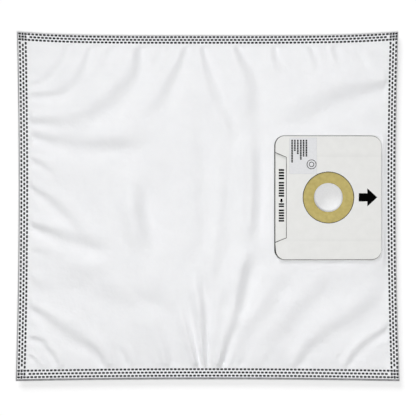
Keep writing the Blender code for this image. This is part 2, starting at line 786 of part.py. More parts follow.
def make_face_card(surface, frame):
    """The face card, with the round hole over the gasket and the notch over the pull tab."""
    lower_left, lower_right, upper_right, upper_left = collar_corners()
    notch = [(-COLLAR_LEFT, NOTCH_HALF_OUTER, 0), (-COLLAR_LEFT + NOTCH_DEPTH, NOTCH_HALF_INNER, 0),
             (-COLLAR_LEFT + NOTCH_DEPTH, -NOTCH_HALF_INNER, 0), (-COLLAR_LEFT, -NOTCH_HALF_OUTER, 0)]
    outline = rounded([lower_left, lower_right, upper_right, upper_left] + notch)
    loops = [outline, circle(FACE_HOLE / 2, FACE_HOLE_SEGMENTS)]
    return plate("collar_face_card", loops, FACE_W, CARD, surface, frame)


def make_back_card(surface, frame):
    """The card glued to the front sheet."""
    loops = [rounded(collar_corners()), circle(BACK_HOLE)]
    return plate("collar_back_card", loops, BACK_CARD_W, CARD, surface, frame)


def make_rail(name, side, surface, frame):
    """A card strip above or below the slide, with a step that stops the slide's ear."""
    inner = side * CHANNEL_HALF
    wide = side * (CHANNEL_HALF + EAR_DEPTH)
    outer = COLLAR_UP if side > 0 else -COLLAR_DOWN
    step = SLIDE_RIGHT - EAR_LENGTH - SLIDE_TRAVEL - GAP
    corners = [(-COLLAR_LEFT, inner, 0), (step, inner, 0), (step, wide, 0), (COLLAR_RIGHT, wide, 0),
               (COLLAR_RIGHT, outer, RAIL_CORNER), (-COLLAR_LEFT, outer, COLLAR_CORNER)]
    if side < 0:
        corners.reverse()
    thickness = FACE_W - GAP - SLIDE_W
    return plate(name, [rounded(corners)], SLIDE_W, thickness, surface, frame)


def make_slide(surface, frame):
    """The card that slides to the left and closes the port."""
    left = -COLLAR_LEFT + SLIDE_INSET
    half = CHANNEL_HALF - GAP
    ear = CHANNEL_HALF + EAR_DEPTH - GAP
    ear_left = SLIDE_RIGHT - EAR_LENGTH
    corners = [(left, -half, SLIDE_CORNER), (ear_left, -half, 0), (ear_left, -ear, 0),
               (SLIDE_RIGHT, -ear, 0), (SLIDE_RIGHT, ear, 0), (ear_left, ear, 0),
               (ear_left, half, 0), (left, half, SLIDE_CORNER)]
    return plate("seal_slide", [rounded(corners), circle(SLIDE_HOLE)], SLIDE_W, CARD, surface, frame)


def make_gasket(surface, frame):
    """The rubber ring: flat under the face card and thinner towards its soft inner lip."""
    outer = FACE_HOLE / 2 + GASKET_LAP
    bore = GASKET_BORE / 2
    middle = GASKET_W + GASKET_THICKNESS / 2
    top = GASKET_W + GASKET_THICKNESS
    profile = [(outer, GASKET_W), (outer, top), (bore + GASKET_TAPER, top),
               (bore + GASKET_LIP, middle + GASKET_LIP_HALF), (bore, middle),
               (bore + GASKET_LIP, middle - GASKET_LIP_HALF), (bore + GASKET_TAPER, GASKET_W)]
    points = []
    faces = []
    for step in range(HOLE_SEGMENTS):
        turn = 2 * math.pi * step / HOLE_SEGMENTS
        points += [(radius * math.cos(turn), radius * math.sin(turn), height) for radius, height in profile]
    count = len(profile)
    for step in range(HOLE_SEGMENTS):
        here = step * count
        ahead = (step + 1) % HOLE_SEGMENTS * count
        for index in range(count):
            after = (index + 1) % count
            faces.append((here + index, ahead + index, ahead + after, here + after))
    made = make_object("gasket", points, faces, surface, frame)
    made.data.shade_smooth()
    made.data.set_sharp_from_angle(angle=GASKET_SHARP)
    return made


def make_label(surface, frame):
    """The small paper label in the card's upper left corner."""
    left = -COLLAR_LEFT + LABEL_INSET_X
    high = COLLAR_UP - LABEL_INSET_Y
    right = left + LABEL_WIDTH
    low = high - LABEL_HEIGHT
    corners = [(left, low, LABEL_CORNER), (right, low, LABEL_CORNER), (right, high, LABEL_CORNER),
               (left, high, LABEL_CORNER)]
    return plate("collar_label", [rounded(corners, LABEL_SEGMENTS)], PRINT_W, PRINT, surface, frame)


def make_arrow(surface, frame):
    """The printed arrow to the right of the gasket."""
    neck = ARROW_TAIL + ARROW_SHAFT
    tip = neck + ARROW_HEAD
    outline = [(ARROW_TAIL, ARROW_Y - ARROW_HALF_SHAFT), (neck, ARROW_Y - ARROW_HALF_SHAFT),
               (neck, ARROW_Y - ARROW_HALF_HEAD), (tip, ARROW_Y), (neck, ARROW_Y + ARROW_HALF_HEAD),
               (neck, ARROW_Y + ARROW_HALF_SHAFT), (ARROW_TAIL, ARROW_Y + ARROW_HALF_SHAFT)]
    return plate("arrow_print", [outline], PRINT_W, PRINT, surface, frame)


def clear_scene():
    """Remove the objects that a new file starts with."""
    for item in list(bpy.data.objects):
        bpy.data.objects.remove(item, do_unlink=True)


def make_bag():
    """Build every piece."""
    fabric = material("fabric", (0.86, 0.87, 0.88), 0.92)
    card = material("card", (0.80, 0.80, 0.77), 0.75)
    slide_card = material("slide_card", (0.84, 0.84, 0.82), 0.70)
    rubber = material("rubber", (0.50, 0.41, 0.15), 0.55)
    paper = material("paper", (0.74, 0.76, 0.79), 0.60)
    ink = material("ink", (0.01, 0.01, 0.01), 0.50)
    make_front_panel(fabric)
    make_rear_panel(fabric)
    frame = bpy.data.objects.new("collar_frame", None)
    frame.location = (PORT_X, PORT_Y, PORT_Z)
    frame.rotation_euler = (0.0, COLLAR_TILT, 0.0)
    bpy.context.scene.collection.objects.link(frame)
    make_back_card(card, frame)
    make_rail("guide_rail_upper", 1, card, frame)
    make_rail("guide_rail_lower", -1, card, frame)
    make_slide(slide_card, frame)
    make_gasket(rubber, frame)
    make_face_card(card, frame)
    make_label(paper, frame)
    make_arrow(ink, frame)


clear_scene()
make_bag()
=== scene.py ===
"""Looks of the vacuum filter bag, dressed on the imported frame."""

import math

import bmesh
import bpy
import numpy as np
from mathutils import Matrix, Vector
from mathutils.geometry import tessellate_polygon


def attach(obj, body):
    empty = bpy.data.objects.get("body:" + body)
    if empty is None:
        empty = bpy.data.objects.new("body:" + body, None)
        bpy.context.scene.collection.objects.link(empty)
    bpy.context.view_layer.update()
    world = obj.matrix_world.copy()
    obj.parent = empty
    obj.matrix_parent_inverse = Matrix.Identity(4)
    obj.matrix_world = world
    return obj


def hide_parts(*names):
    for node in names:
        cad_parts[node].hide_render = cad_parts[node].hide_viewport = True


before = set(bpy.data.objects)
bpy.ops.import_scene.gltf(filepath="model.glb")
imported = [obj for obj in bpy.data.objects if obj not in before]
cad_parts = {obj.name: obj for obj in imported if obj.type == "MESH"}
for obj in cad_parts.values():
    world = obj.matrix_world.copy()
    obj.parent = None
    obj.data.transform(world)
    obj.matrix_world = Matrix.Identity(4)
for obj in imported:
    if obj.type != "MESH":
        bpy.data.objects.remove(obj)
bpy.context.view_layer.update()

# Bag outline and weld, close to the part's
BAG_WIDTH_TOP = 0.4546
BAG_WIDTH_BOTTOM = 0.4574
BAG_HEIGHT = 0.4168
SAG_TOP = 0.0046
SAG_BOTTOM = 0.0022
SAG_LEFT = 0.0028
SAG_RIGHT = 0.0036
FABRIC = 0.0007
FLANGE = 0.0006
GAP = 0.0003
SEAM_LEFT = 0.0117
SEAM_RIGHT = 0.0106
SEAM_TOP = 0.0104
SEAM_BOTTOM = 0.0141
SEAM_Z = 0.0080
DOME_HEIGHT = 0.0130
DOME_REACH = 0.060
SEAM_EASE = 0.0040
REAR_REACH = 0.034

# Collar and port, close to the part's
COLLAR_WIDTH = 0.1276
COLLAR_HEIGHT = 0.1477
COLLAR_CORNER = 0.0120
COLLAR_RISE = 0.0032
COLLAR_TILT = math.radians(3.4)
COLLAR_EASE = 0.014
COLLAR_MARGIN = 0.0015
PORT_IN_COLLAR_X = 0.0005
PORT_IN_COLLAR_Y = 0.0003
PORT_X = 0.1433236
PORT_Y = 0.0107
CARD = 0.0007
GASKET_BORE = 0.0345
GASKET_THICKNESS = 0.0012
GASKET_LAP = 0.0080
FACE_HOLE = 0.0600
SLIDE_HOLE = 0.0200
BACK_HOLE = 0.0220
FABRIC_HOLE = 0.0240
NOTCH_DEPTH = 0.0138
NOTCH_HALF_OUTER = 0.0532
NOTCH_HALF_INNER = 0.0478
CHANNEL_HALF = 0.0555
EAR_DEPTH = 0.0060
EAR_LENGTH = 0.0080
SLIDE_CORNER = 0.0030
SLIDE_INSET = 0.0006
SLIDE_RIGHT = 0.0615

# The gasket's profile: the share of its thickness that is left at the bore, how far it tapers
# there, its rounded nose and the turns of its points, and the steps along and round the ring
GASKET_LIP = 0.45
GASKET_TAPER = 0.004
GASKET_NOSE = 0.0005
NOSE_TURNS = (math.pi / 6, math.pi / 3, math.pi / 2)
GASKET_STEPS = 24
GASKET_SEGMENTS = 160

# Cut edges of the board: how wide they show on each side, at the notch and at the round holes,
# how far they are bevelled, and the steps of a rounded corner and of a round hole. Their near-black
# colour is partly the board's grey core and partly painted shade of the edges' sides and of the
# gaps between the cards.
EDGE_LEFT = 0.0010
EDGE_LOWER_LEFT = 0.0016
EDGE_RIGHT = 0.0001
EDGE_TOP = 0.0005
EDGE_BOTTOM = 0.0006
EDGE_NOTCH = 0.0006
EDGE_HOLE = 0.0008
EDGE_SLIDE = 0.0006
EDGE_DROP = 0.00015
CORNER_STEPS = 14
HOLE_STEPS = 120

# Label and arrow, and the print on the label and on the slide's tab. Print is plain strokes.
LABEL_WIDTH = 0.0328
LABEL_HEIGHT = 0.0430
LABEL_INSET_X = 0.0177
LABEL_INSET_Y = 0.0026
LABEL_CORNER = 0.0010
# The label's edge width, painted grey as the shadow under it
LABEL_BORDER = 0.00015
LABEL_LIFT = 0.00004
PRINT = 0.00012
INK = 0.00003
ARROW_TAIL = 0.0362
ARROW_SHAFT = 0.0102
ARROW_HEAD = 0.0119
ARROW_HALF_SHAFT = 0.0049
ARROW_HALF_HEAD = 0.0109
ARROW_Y = 0.0002
COLUMN_TOP = 0.0686
COLUMN_WIDTH = 0.0020
COLUMNS = [(-0.0434, 0.0412), (-0.0401, 0.0549), (-0.0366, 0.0513), (-0.0330, 0.0447),
           (-0.0297, 0.0483), (-0.0264, 0.0483)]
STROKE_PITCH = 0.0019
STROKE_SHARE = 0.82
RING_MARK = (-0.0202, 0.0394)
RING_MARK_RADII = (0.0058, 0.0031)
RING_MARK_LINE = 0.0008
TAB_X = -0.0559
TAB_BARS = [(0.0338, 0.0204), (0.0185, -0.0001), (-0.0069, -0.0124), (-0.0143, -0.0298)]
TAB_WIDTH = 0.0064
TAB_PITCH = 0.0027
TAB_SHARE = 0.66
TAB_ARROW = (-0.0014, -0.0062)
TAB_ARROW_HALF = 0.0024

# The fabric stands up close to the card's right and bottom edges
PUFF_HEIGHT = 0.0009
PUFF_START = 0.0010
PUFF_RISE = 0.0040
PUFF_FALL = 0.028
PUFF_SIDE = 0.020
PUFF_SEAM = 0.006

# The slide's way out to the left: its length, the room that the fabric leaves below the slide,
# how softly it keeps to that, and how far beyond the way it eases back
SLIDE_TRAVEL = 0.0408
SLIDE_ROOM = 0.0004
SLIDE_WAY_SOFT = 0.00025
SLIDE_WAY_EASE = 0.016

# Small gathers along the weld: their height, how far in they reach, and their waves as length,
# share and shift
GATHER_HEIGHT = 0.00045
GATHER_REACH = 0.011
GATHER_WAVES = [(0.0137, 0.5, 0.4), (0.0096, 0.3, 1.9), (0.0231, 0.4, 3.1)]

# Weld dashes. The rows are placed from the weld's inner edge, and differ a little by side. A dash
# has a few points round it, and a lower power makes it squarer. The fabric's cut edge has its own
# width on each side, and is rounded over a share of its height. Its grey is painted shade of the
# edge's side and of the shadow on the floor below it, widest at the bottom.
DASH_PITCH_X = 0.0046
DASH_PITCH_Y = 0.0050
ROW_INSET = 0.0018
ROW_STEPS = {"left": 0.0035, "right": 0.00345, "top": 0.0034, "bottom": 0.0039}
DASH_LENGTH = 0.0036
DASH_WIDTH = 0.0025
DASH_DEPTH = 0.0003
DASH_SIDE = 0.00018
DASH_POINTS = 12
DASH_POWER = 0.6
EDGE_SHADE_WIDTHS = {"left": 0.0010, "right": 0.0005, "top": 0.0003, "bottom": 0.0024}
CUT_ROUND = 0.5

# Kinds of face, which are the places of a piece's materials: four on a sheet, two on a plate
FACE = 0
PRESSED = 1
# The sheets' cut edges, painted grey as edge shade
SHADED_EDGE = 2
# The sheets' inner faces, a lighter copy of the fabric as painted light
INSIDE_LIT = 3
PLATE_EDGE = 1

# Mesh: how close two points are merged, how far the patch round the port reaches in radii of the
# hole, its rings as shares of the way out from the hole, the step that a slope is measured over,
# and how far a point lies from the weld at least to count as off it
MEETING = 0.00002
HOLE_PATCH = 1.25
HOLE_RINGS = (0.66, 0.33, 0.0)
SLOPE_STEP = 0.0004
ON_WELD = 1e-6

# The photograph's frame: its width, the bag's middle on it, the bag's half sizes on it and the
# size of a pixel
FRAME_WIDTH = 416
BAG_MIDDLE = (207.7, 206.5)
BAG_HALF_ON_FRAME = (191.1, 174.7)
PIXEL = 0.001193

# How many times a place's u and v are corrected
UV_STEPS = 8

# Each crease is a step in the cloth, high on its upper left side and low on the other. It is a
# path on the photograph, a half width on it, and a height in millimetres.
UPPER_LEFT_CREASES = [
    [[(66, 40), (62, 56), (52, 70), (40, 80), (24, 88)], 4, 0.6],
    [[(91, 40), (86, 56), (79, 72), (70, 84), (56, 93), (24, 95)], 4.5, 1.0],
    [[(113, 40), (106, 56), (98, 68), (88, 78)], 4, 0.6],
    [[(139, 40), (134, 70), (127, 82), (116, 94), (102, 106), (88, 116), (74, 122), (24, 121)], 7, 1.8],
    [[(159, 40), (154, 60), (146, 70), (136, 80)], 4, 0.5],
    [[(187, 40), (178, 66), (170, 80), (164, 94), (156, 106), (142, 122)], 5, 1.2],
    [[(24, 131), (50, 138), (78, 142), (108, 143), (132, 142), (156, 140)], 6.5, 1.8],
    [[(24, 155), (44, 165), (56, 173), (68, 181)], 4, 0.9],
    [[(24, 183), (42, 193), (56, 203), (70, 217), (84, 231), (98, 243)], 4.5, 1.1],
]
CENTRE_CREASES = [
    [[(201, 40), (205, 64), (210, 82), (216, 98), (225, 114), (232, 132), (229, 156)], 4.5, 1.2],
    [[(233, 40), (243, 64), (250, 78), (252, 96), (252, 120), (253, 138)], 6, 1.6],
    [[(252, 124), (254, 150), (255, 180), (254, 214), (252, 252)], 5.5, 1.9],
    [[(252, 239), (251, 252), (246, 268), (242, 286), (238, 306), (233, 324), (226, 342), (219, 372)],
     5, 2.3],
    [[(222, 150), (225, 190), (221, 240), (216, 290), (214, 346)], 5.5, 1.0],
    [[(136, 168), (138, 190), (140, 210), (144, 228), (146, 242), (145, 258)], 6, 2.7],
    [[(190, 96), (196, 130), (199, 170), (200, 220), (200, 262)], 6, 1.0],
    [[(160, 150), (158, 190), (156, 230), (158, 262)], 7, 0.5],
    [[(148, 262), (154, 286), (156, 304), (160, 322), (165, 342), (171, 372)], 5.5, 1.0],
    [[(182, 290), (187, 316), (192, 338), (196, 356), (199, 372)], 3.5, 1.6],
    [[(199, 262), (200, 284), (203, 308), (204, 330), (205, 350), (206, 372)], 3.5, 2.0],
    [[(232, 262), (226, 290), (220, 320), (214, 348), (211, 372)], 3.5, 1.1],
    [[(264, 298), (250, 318), (238, 342), (228, 372)], 4, 1.0],
]
LEFT_CREASES = [
    [[(24, 222), (50, 231), (66, 236), (86, 242), (104, 247), (120, 255)], 5.5, 1.5],
    [[(24, 248), (44, 252), (60, 261)], 4, 0.5],
    [[(52, 264), (74, 267), (94, 269), (118, 264), (134, 263)], 5.5, 0.6],
    [[(24, 276), (48, 288), (70, 293)], 6, 0.5],
    [[(84, 293), (106, 304), (132, 319)], 6, 0.5],
    [[(122, 280), (138, 290), (152, 300), (176, 305)], 5, 0.6],
    [[(40, 262), (68, 276), (96, 284), (128, 298), (158, 306)], 8, 1.1],
    [[(34, 244), (62, 254), (92, 262)], 6, 0.8],
    [[(120, 256), (140, 276), (158, 298), (170, 322)], 7, 1.0],
    [[(24, 303), (44, 314), (60, 326), (76, 336), (92, 346), (102, 357), (107, 372)], 5, 1.1],
    [[(24, 336), (42, 340), (48, 348), (56, 358), (59, 372)], 4, 0.9],
    [[(24, 352), (36, 360), (44, 372)], 3, 0.6],
    [[(61, 356), (69, 372)], 3, 0.5],
    [[(104, 347), (119, 347), (127, 356), (131, 372)], 3.5, 0.8],
    [[(134, 353), (150, 356), (156, 372)], 3.5, 0.4],
]
RIGHT_CREASES = [
    [[(250, 40), (255, 60)], 3, 0.4],
    [[(273, 40), (275, 60), (281, 72), (291, 86)], 4, 1.0],
    [[(288, 40), (289, 60)], 3, 0.5],
    [[(305, 40), (312, 54), (315, 64), (314, 78)], 3.5, 1.3],
    [[(332, 40), (335, 56), (343, 72)], 4, 1.4],
    [[(357, 40), (365, 56), (373, 68), (383, 78)], 4, 0.9],
    [[(392, 84), (367, 87), (347, 91), (331, 97), (315, 105), (299, 114), (283, 118), (267, 122)], 8, 1.3],
    [[(392, 114), (371, 127)], 5, 0.5],
    [[(297, 266), (283, 278), (273, 296), (263, 314), (253, 328), (245, 342), (236, 372)], 5, 0.8],
    [[(317, 282), (309, 284), (299, 298)], 6, 0.5],
    [[(371, 264), (351, 288)], 4, 0.5],
    [[(345, 276), (318, 290), (296, 312), (276, 334), (262, 356)], 7, 0.8],
    [[(300, 74), (326, 88), (356, 100), (376, 106)], 7, 0.4],
    [[(320, 40), (324, 60), (330, 74)], 3.5, 0.6],
    [[(345, 40), (352, 58)], 3, 0.6],
    [[(264, 40), (266, 56)], 3, 0.6],
    [[(384, 274), (371, 300), (355, 314), (339, 324), (325, 332), (311, 344), (301, 356), (295, 372)],
     6, 0.9],
    [[(392, 324), (371, 338), (359, 348), (349, 360), (345, 372)], 4.5, 0.8],
    [[(373, 354), (365, 372)], 3, 0.7],
    [[(280, 342), (267, 356), (259, 372)], 4, 0.5],
]

# The side that creases are high on, how much higher and wider they are than drawn, the length over
# which a loose end fades out, the strip by the weld that they rise over, how much a crease narrows
# towards the weld and over what length, how far inside the weld an end counts as loose, how many
# half widths a crease acts over, and the steps of its path from one drawn point to the next
HIGH_SIDE = (-0.5, 0.85)
CREASE_GAIN = 2.15
CREASE_WIDEN = 1.5
CREASE_FADE = 0.045
CREASE_EASE = 0.0050
CREASE_NARROW = 0.55
NARROW_REACH = 0.070
LOOSE_DEPTH = 0.003
CREASE_REACH = 4
PATH_STEPS = 7

# Surfaces as shade, light, the clouds' scale, detail and grain, roughness and specular level. The
# colour goes from shade to light between two levels of the clouds.
CLOUD_LOW = 0.3
CLOUD_HIGH = 0.7
SPUNBOND = ((0.846, 0.852, 0.872), (0.874, 0.879, 0.897), 45, 4, 0.55, 0.85, 0.2)
PRESSED_FABRIC = ((0.018, 0.018, 0.020), (0.060, 0.060, 0.064), 260, 3, 0.55, 0.7, 0.2)
# The cut edge's grey is painted shade of the edge's side and of the shadow on the floor below it
PAINTED_EDGE_SHADE = ((0.17, 0.17, 0.175), (0.30, 0.30, 0.31), 300, 3, 0.55, 0.8, 0.5)
BOARD = ((0.708, 0.708, 0.692), (0.738, 0.738, 0.722), 110, 5, 0.55, 0.6, 0.3)
RUBBER = ((0.381, 0.306, 0.087), (0.484, 0.396, 0.125), 200, 5, 0.65, 0.55, 0.3)

# Plain surfaces as name, colour, roughness and specular level: the sheets' inside, a lighter copy
# of the fabric as painted light, the board's cut edge, partly grey core and partly painted shade,
# the ink, the label, and its cut edge painted grey as shade. They share the scale, detail and grain
# of their clouds, and drift by a small share of the colour.
PLAIN_CLOUD = (500, 3, 0.55)
PLAIN_DRIFT = 0.03
PLAIN_SURFACES = [
    # The sheets' inside, a lighter copy of the fabric as painted light where it shows through the port
    ("inside_painted_light", (0.935, 0.94, 0.95), 0.9, 0.1),
    # The board's cut edge: partly its grey core, partly painted shade of the gaps between the cards
    ("board_core_and_gap_shade", (0.045, 0.045, 0.042), 0.8, 0.1),
    ("black_ink", (0.002, 0.002, 0.002), 0.8, 0.0),
    ("label_paper", (0.675, 0.68, 0.695), 0.6, 0.3),
    # The label's cut edge is painted grey as the shadow under the label's edge
    ("label_edge_shade", (0.45, 0.45, 0.45), 0.7, 0.3),
]

# Grain: noises as scale, detail and grain, the scale of the fabric's bonded points, and bumps as
# strength and depth. Slack is the fabric's soft unevenness.
FIBRES = (900, 3, 0.6)
FIBRE_BUMP = (0.10, 0.0002)
BOND_SCALE = 1100
BOND_BUMP = (0.12, 0.0001)
SLACK = (60, 3, 0.55)
SLACK_BUMP = (1.0, 0.0012)
BOARD_FIBRES = (1400, 3, 0.55)
BOARD_BUMP = (0.08, 0.0001)
RUBBER_GRAIN = (1500, 2, 0.55)
RUBBER_BUMP = (0.12, 0.0001)

# Finish: the fabric's sheen, how far light soaks into it, the lines of painted shade where the
# slide presses through the face card, and the angles above which an edge looks sharp
FABRIC_SHEEN = 0.05
FABRIC_SOAK = 0.5
SOAK_DEPTH = 0.0015
PRESS_SHADE_BANDS = [(-0.0512, -0.0475), (0.0489, 0.0540)]
PRESS_EASE = 0.010
PRESS_SHADE = 0.965
SHARP = math.radians(40)
BOARD_SHARP = math.radians(2)

# Studio: the floor's size, depth, colour and own light where the camera sees it, the sky, the
# lamps as name, azimuth, elevation, size, distance and power, and the camera's lens, sensor and
# far limit
FLOOR_SIZE = 12
FLOOR_DROP = 0.0004
FLOOR_COLOUR = 0.85
FLOOR_LIFT = 0.16
SKY_STRENGTH = 0.20
LAMPS = [
    ("key", 115, 38, 4.0, 8.0, 245.0),
    ("overhead", 300, 86, 0.45, 2.0, 25.0),
]
LENS = 250
SENSOR = 36
CLIP_END = 100

# Values worked out from the sizes above
HALF_TOP = BAG_WIDTH_TOP / 2
HALF_BOTTOM = BAG_WIDTH_BOTTOM / 2
HALF_WIDTH = (HALF_TOP + HALF_BOTTOM) / 2
HALF_HEIGHT = BAG_HEIGHT / 2
FIELD_LEFT = SEAM_LEFT / HALF_WIDTH - 1
FIELD_RIGHT = 1 - SEAM_RIGHT / HALF_WIDTH
FIELD_LOW = SEAM_BOTTOM / HALF_HEIGHT - 1
FIELD_HIGH = 1 - SEAM_TOP / HALF_HEIGHT
FRONT_RIM_Z = SEAM_Z + FLANGE
REAR_RIM_Z = SEAM_Z - GAP - FLANGE
SEAMS = {"left": SEAM_LEFT, "right": SEAM_RIGHT, "top": SEAM_TOP, "bottom": SEAM_BOTTOM}
COLLAR_RIGHT = COLLAR_WIDTH / 2 - PORT_IN_COLLAR_X
COLLAR_LEFT = COLLAR_WIDTH / 2 + PORT_IN_COLLAR_X
COLLAR_UP = COLLAR_HEIGHT / 2 - PORT_IN_COLLAR_Y
COLLAR_DOWN = COLLAR_HEIGHT / 2 + PORT_IN_COLLAR_Y
PORT_Z = FRONT_RIM_Z + COLLAR_RISE + COLLAR_RIGHT * math.sin(COLLAR_TILT)
BACK_CARD_W = GAP
SLIDE_W = BACK_CARD_W + CARD + GAP
GASKET_W = SLIDE_W + CARD + GAP
FACE_W = GASKET_W + GASKET_THICKNESS + GAP
ON_FACE_W = FACE_W + CARD + LABEL_LIFT


def smooth_step(value):
    """Ease from 0 to 1 while the value goes from 0 to 1."""
    value = np.clip(value, 0.0, 1.0)
    return value * value * (3 - 2 * value)


def bag_xy(u, v):
    """Place on the bag for u and v, which run from -1 to 1 across and up it."""
    half = HALF_BOTTOM + (HALF_TOP - HALF_BOTTOM) * (1 + v) / 2
    sag_x = (SAG_RIGHT * (1 + u) - SAG_LEFT * (1 - u)) / 2
    sag_y = (SAG_TOP * (1 + v) * (1 - u ** 4) - SAG_BOTTOM * (1 - v) * (1 - u * u)) / 2
    return u * half - sag_x * (1 - v * v), v * HALF_HEIGHT - sag_y


def bag_uv(x, y):
    """The u and v of a place on the bag, found by repeated correction."""
    u = x / HALF_WIDTH
    v = y / HALF_HEIGHT
    for _ in range(UV_STEPS):
        found_x, found_y = bag_xy(u, v)
        u = u + (x - found_x) / HALF_WIDTH
        v = v + (y - found_y) / HALF_HEIGHT
    return u, v


def frame_to_bag(point):
    """Place on the bag for a point of the photograph."""
    return ((point[0] - BAG_MIDDLE[0]) / BAG_HALF_ON_FRAME[0] * HALF_WIDTH,
            (BAG_MIDDLE[1] - point[1]) / BAG_HALF_ON_FRAME[1] * HALF_HEIGHT)


def edge_distances(u, v):
    """Distances inside the weld's inner line, from the right, left, top and bottom."""
    return ((FIELD_RIGHT - u) * HALF_WIDTH, (u - FIELD_LEFT) * HALF_WIDTH,
            (FIELD_HIGH - v) * HALF_HEIGHT, (v - FIELD_LOW) * HALF_HEIGHT)


def smooth_path(points):
    """A smooth curve through the points, as an array of places."""
    points = [np.array(point, float) for point in points]
    padded = [2 * points[0] - points[1]] + points + [2 * points[-1] - points[-2]]
    path = []
    for index in range(1, len(padded) - 2):
        before, start, end, after = padded[index - 1:index + 3]
        for step in range(PATH_STEPS):
            t = step / PATH_STEPS
            path.append(0.5 * (2 * start + (end - before) * t
                               + (2 * before - 5 * start + 4 * end - after) * t * t
                               + (3 * start - before - 3 * end + after) * t ** 3))
    path.append(points[-1])
    return np.array(path)


class Crease:
    """A step in the cloth along a path, high on one side and low on the other."""

    def __init__(self, points, width, height):
        self.path = smooth_path([frame_to_bag(point) for point in points])
        self.steps = np.diff(self.path, axis=0)
        self.lengths = np.hypot(self.steps[:, 0], self.steps[:, 1])
        self.travelled = np.concatenate([[0.0], np.cumsum(self.lengths)])
        self.loose = [min(edge_distances(*bag_uv(*place))) > LOOSE_DEPTH
                      for place in (self.path[0], self.path[-1])]
        along = self.path[-1] - self.path[0]
        high_on_left = HIGH_SIDE[1] * along[0] - HIGH_SIDE[0] * along[1] > 0
        self.width = width * CREASE_WIDEN * PIXEL
        self.height = height * CREASE_GAIN / 1000 * (1 if high_on_left else -1)

    def ends(self, along):
        """For both ends, whether it is loose and how far it is from places along the path."""
        return zip(self.loose, (along, self.travelled[-1] - along))

    def width_at(self, along):
        """Half width at places along the path: narrower where the path meets the weld."""
        width = self.width
        for loose, distance in self.ends(along):
            if not loose:
                width = width * (1 - CREASE_NARROW * (1 - smooth_step(distance / NARROW_REACH)))
        return width

    def height_at(self, along):
        """Height at places along the path: it fades out at a loose end."""
        height = self.height
        for loose, distance in self.ends(along):
            if loose:
                height = height * smooth_step(distance / CREASE_FADE)
        return height

    def added(self, x, y):
        """Height that the crease adds at each place."""
        reach = CREASE_REACH * self.width
        low = self.path.min(axis=0) - reach
        high = self.path.max(axis=0) + reach
        near = (x > low[0]) & (x < high[0]) & (y > low[1]) & (y < high[1])
        added = np.zeros(x.shape)
        x = x[near]
        y = y[near]
        nearest = np.full(x.shape, 1.0)
        along = np.zeros(x.shape)
        side = np.zeros(x.shape)
        for index, (start, step) in enumerate(zip(self.path, self.steps)):
            length = self.lengths[index]
            share = ((x - start[0]) * step[0] + (y - start[1]) * step[1]) / length ** 2
            share = np.clip(share, 0.0, 1.0)
            away = np.hypot(x - start[0] - share * step[0], y - start[1] - share * step[1])
            across = step[0] * (y - start[1]) - step[1] * (x - start[0])
            closer = away < nearest
            nearest = np.where(closer, away, nearest)
            along = np.where(closer, self.travelled[index] + share * length, along)
            side = np.where(closer, np.sign(across), side)
        share = side * nearest / self.width_at(along)
        added[near] = self.height_at(along) * share * np.exp((1 - share ** 2) / 2)
        return added


CREASES = [Crease(*drawn)
           for drawn in UPPER_LEFT_CREASES + CENTRE_CREASES + LEFT_CREASES + RIGHT_CREASES]


def collar_distance(x, y):
    """Distance outside the collar's rounded outline, negative inside it."""
    centre_x = PORT_X + (COLLAR_RIGHT - COLLAR_LEFT) / 2
    centre_y = PORT_Y + (COLLAR_UP - COLLAR_DOWN) / 2
    beyond_x = np.abs(x - centre_x) - COLLAR_WIDTH / 2 + COLLAR_CORNER
    beyond_y = np.abs(y - centre_y) - COLLAR_HEIGHT / 2 + COLLAR_CORNER
    outside = np.hypot(np.maximum(beyond_x, 0), np.maximum(beyond_y, 0))
    inside = np.minimum(np.maximum(beyond_x, beyond_y), 0)
    return outside + inside - COLLAR_CORNER


def puff(x, y, nearest):
    """How much the fabric stands up by the card, clear of the slide's way out to the left."""
    away = collar_distance(x, y) - PUFF_START
    rise = smooth_step(away / PUFF_RISE) * (1 - smooth_step((away - PUFF_RISE) / PUFF_FALL))
    side = smooth_step((x - PORT_X + COLLAR_LEFT) / PUFF_SIDE)
    below = smooth_step((PORT_Y + COLLAR_UP - y) / PUFF_SIDE)
    return PUFF_HEIGHT * rise * side * below * smooth_step(nearest / PUFF_SEAM)


def gathers(x, y, edges):
    """Height of the small gathers that the weld draws into the fabric."""
    right, left, high, low = edges
    added = 0
    for place, sides in ((x, (high, low)), (y, (right, left))):
        for number, edge in enumerate(sides):
            wave = sum(share * np.sin(math.tau * place / length + shift * (number + 1))
                       for length, share, shift in GATHER_WAVES)
            added = added + wave * np.exp(-np.maximum(edge, 0) / GATHER_REACH)
    return GATHER_HEIGHT * added


def slide_cut(above, x, y):
    """How far the fabric, this high above the collar's plane, gives way to the slide's way out."""
    over = above - SLIDE_W + SLIDE_ROOM
    card_left = PORT_X - COLLAR_LEFT
    start = smooth_step((x - card_left + SLIDE_TRAVEL) / SLIDE_WAY_EASE + 1)
    end = 1 - smooth_step((x - card_left) / SLIDE_WAY_EASE)
    across = smooth_step((CHANNEL_HALF - np.abs(y - PORT_Y)) / SLIDE_WAY_EASE + 1)
    return start * end * across * SLIDE_WAY_SOFT * np.log1p(np.exp(over / SLIDE_WAY_SOFT))


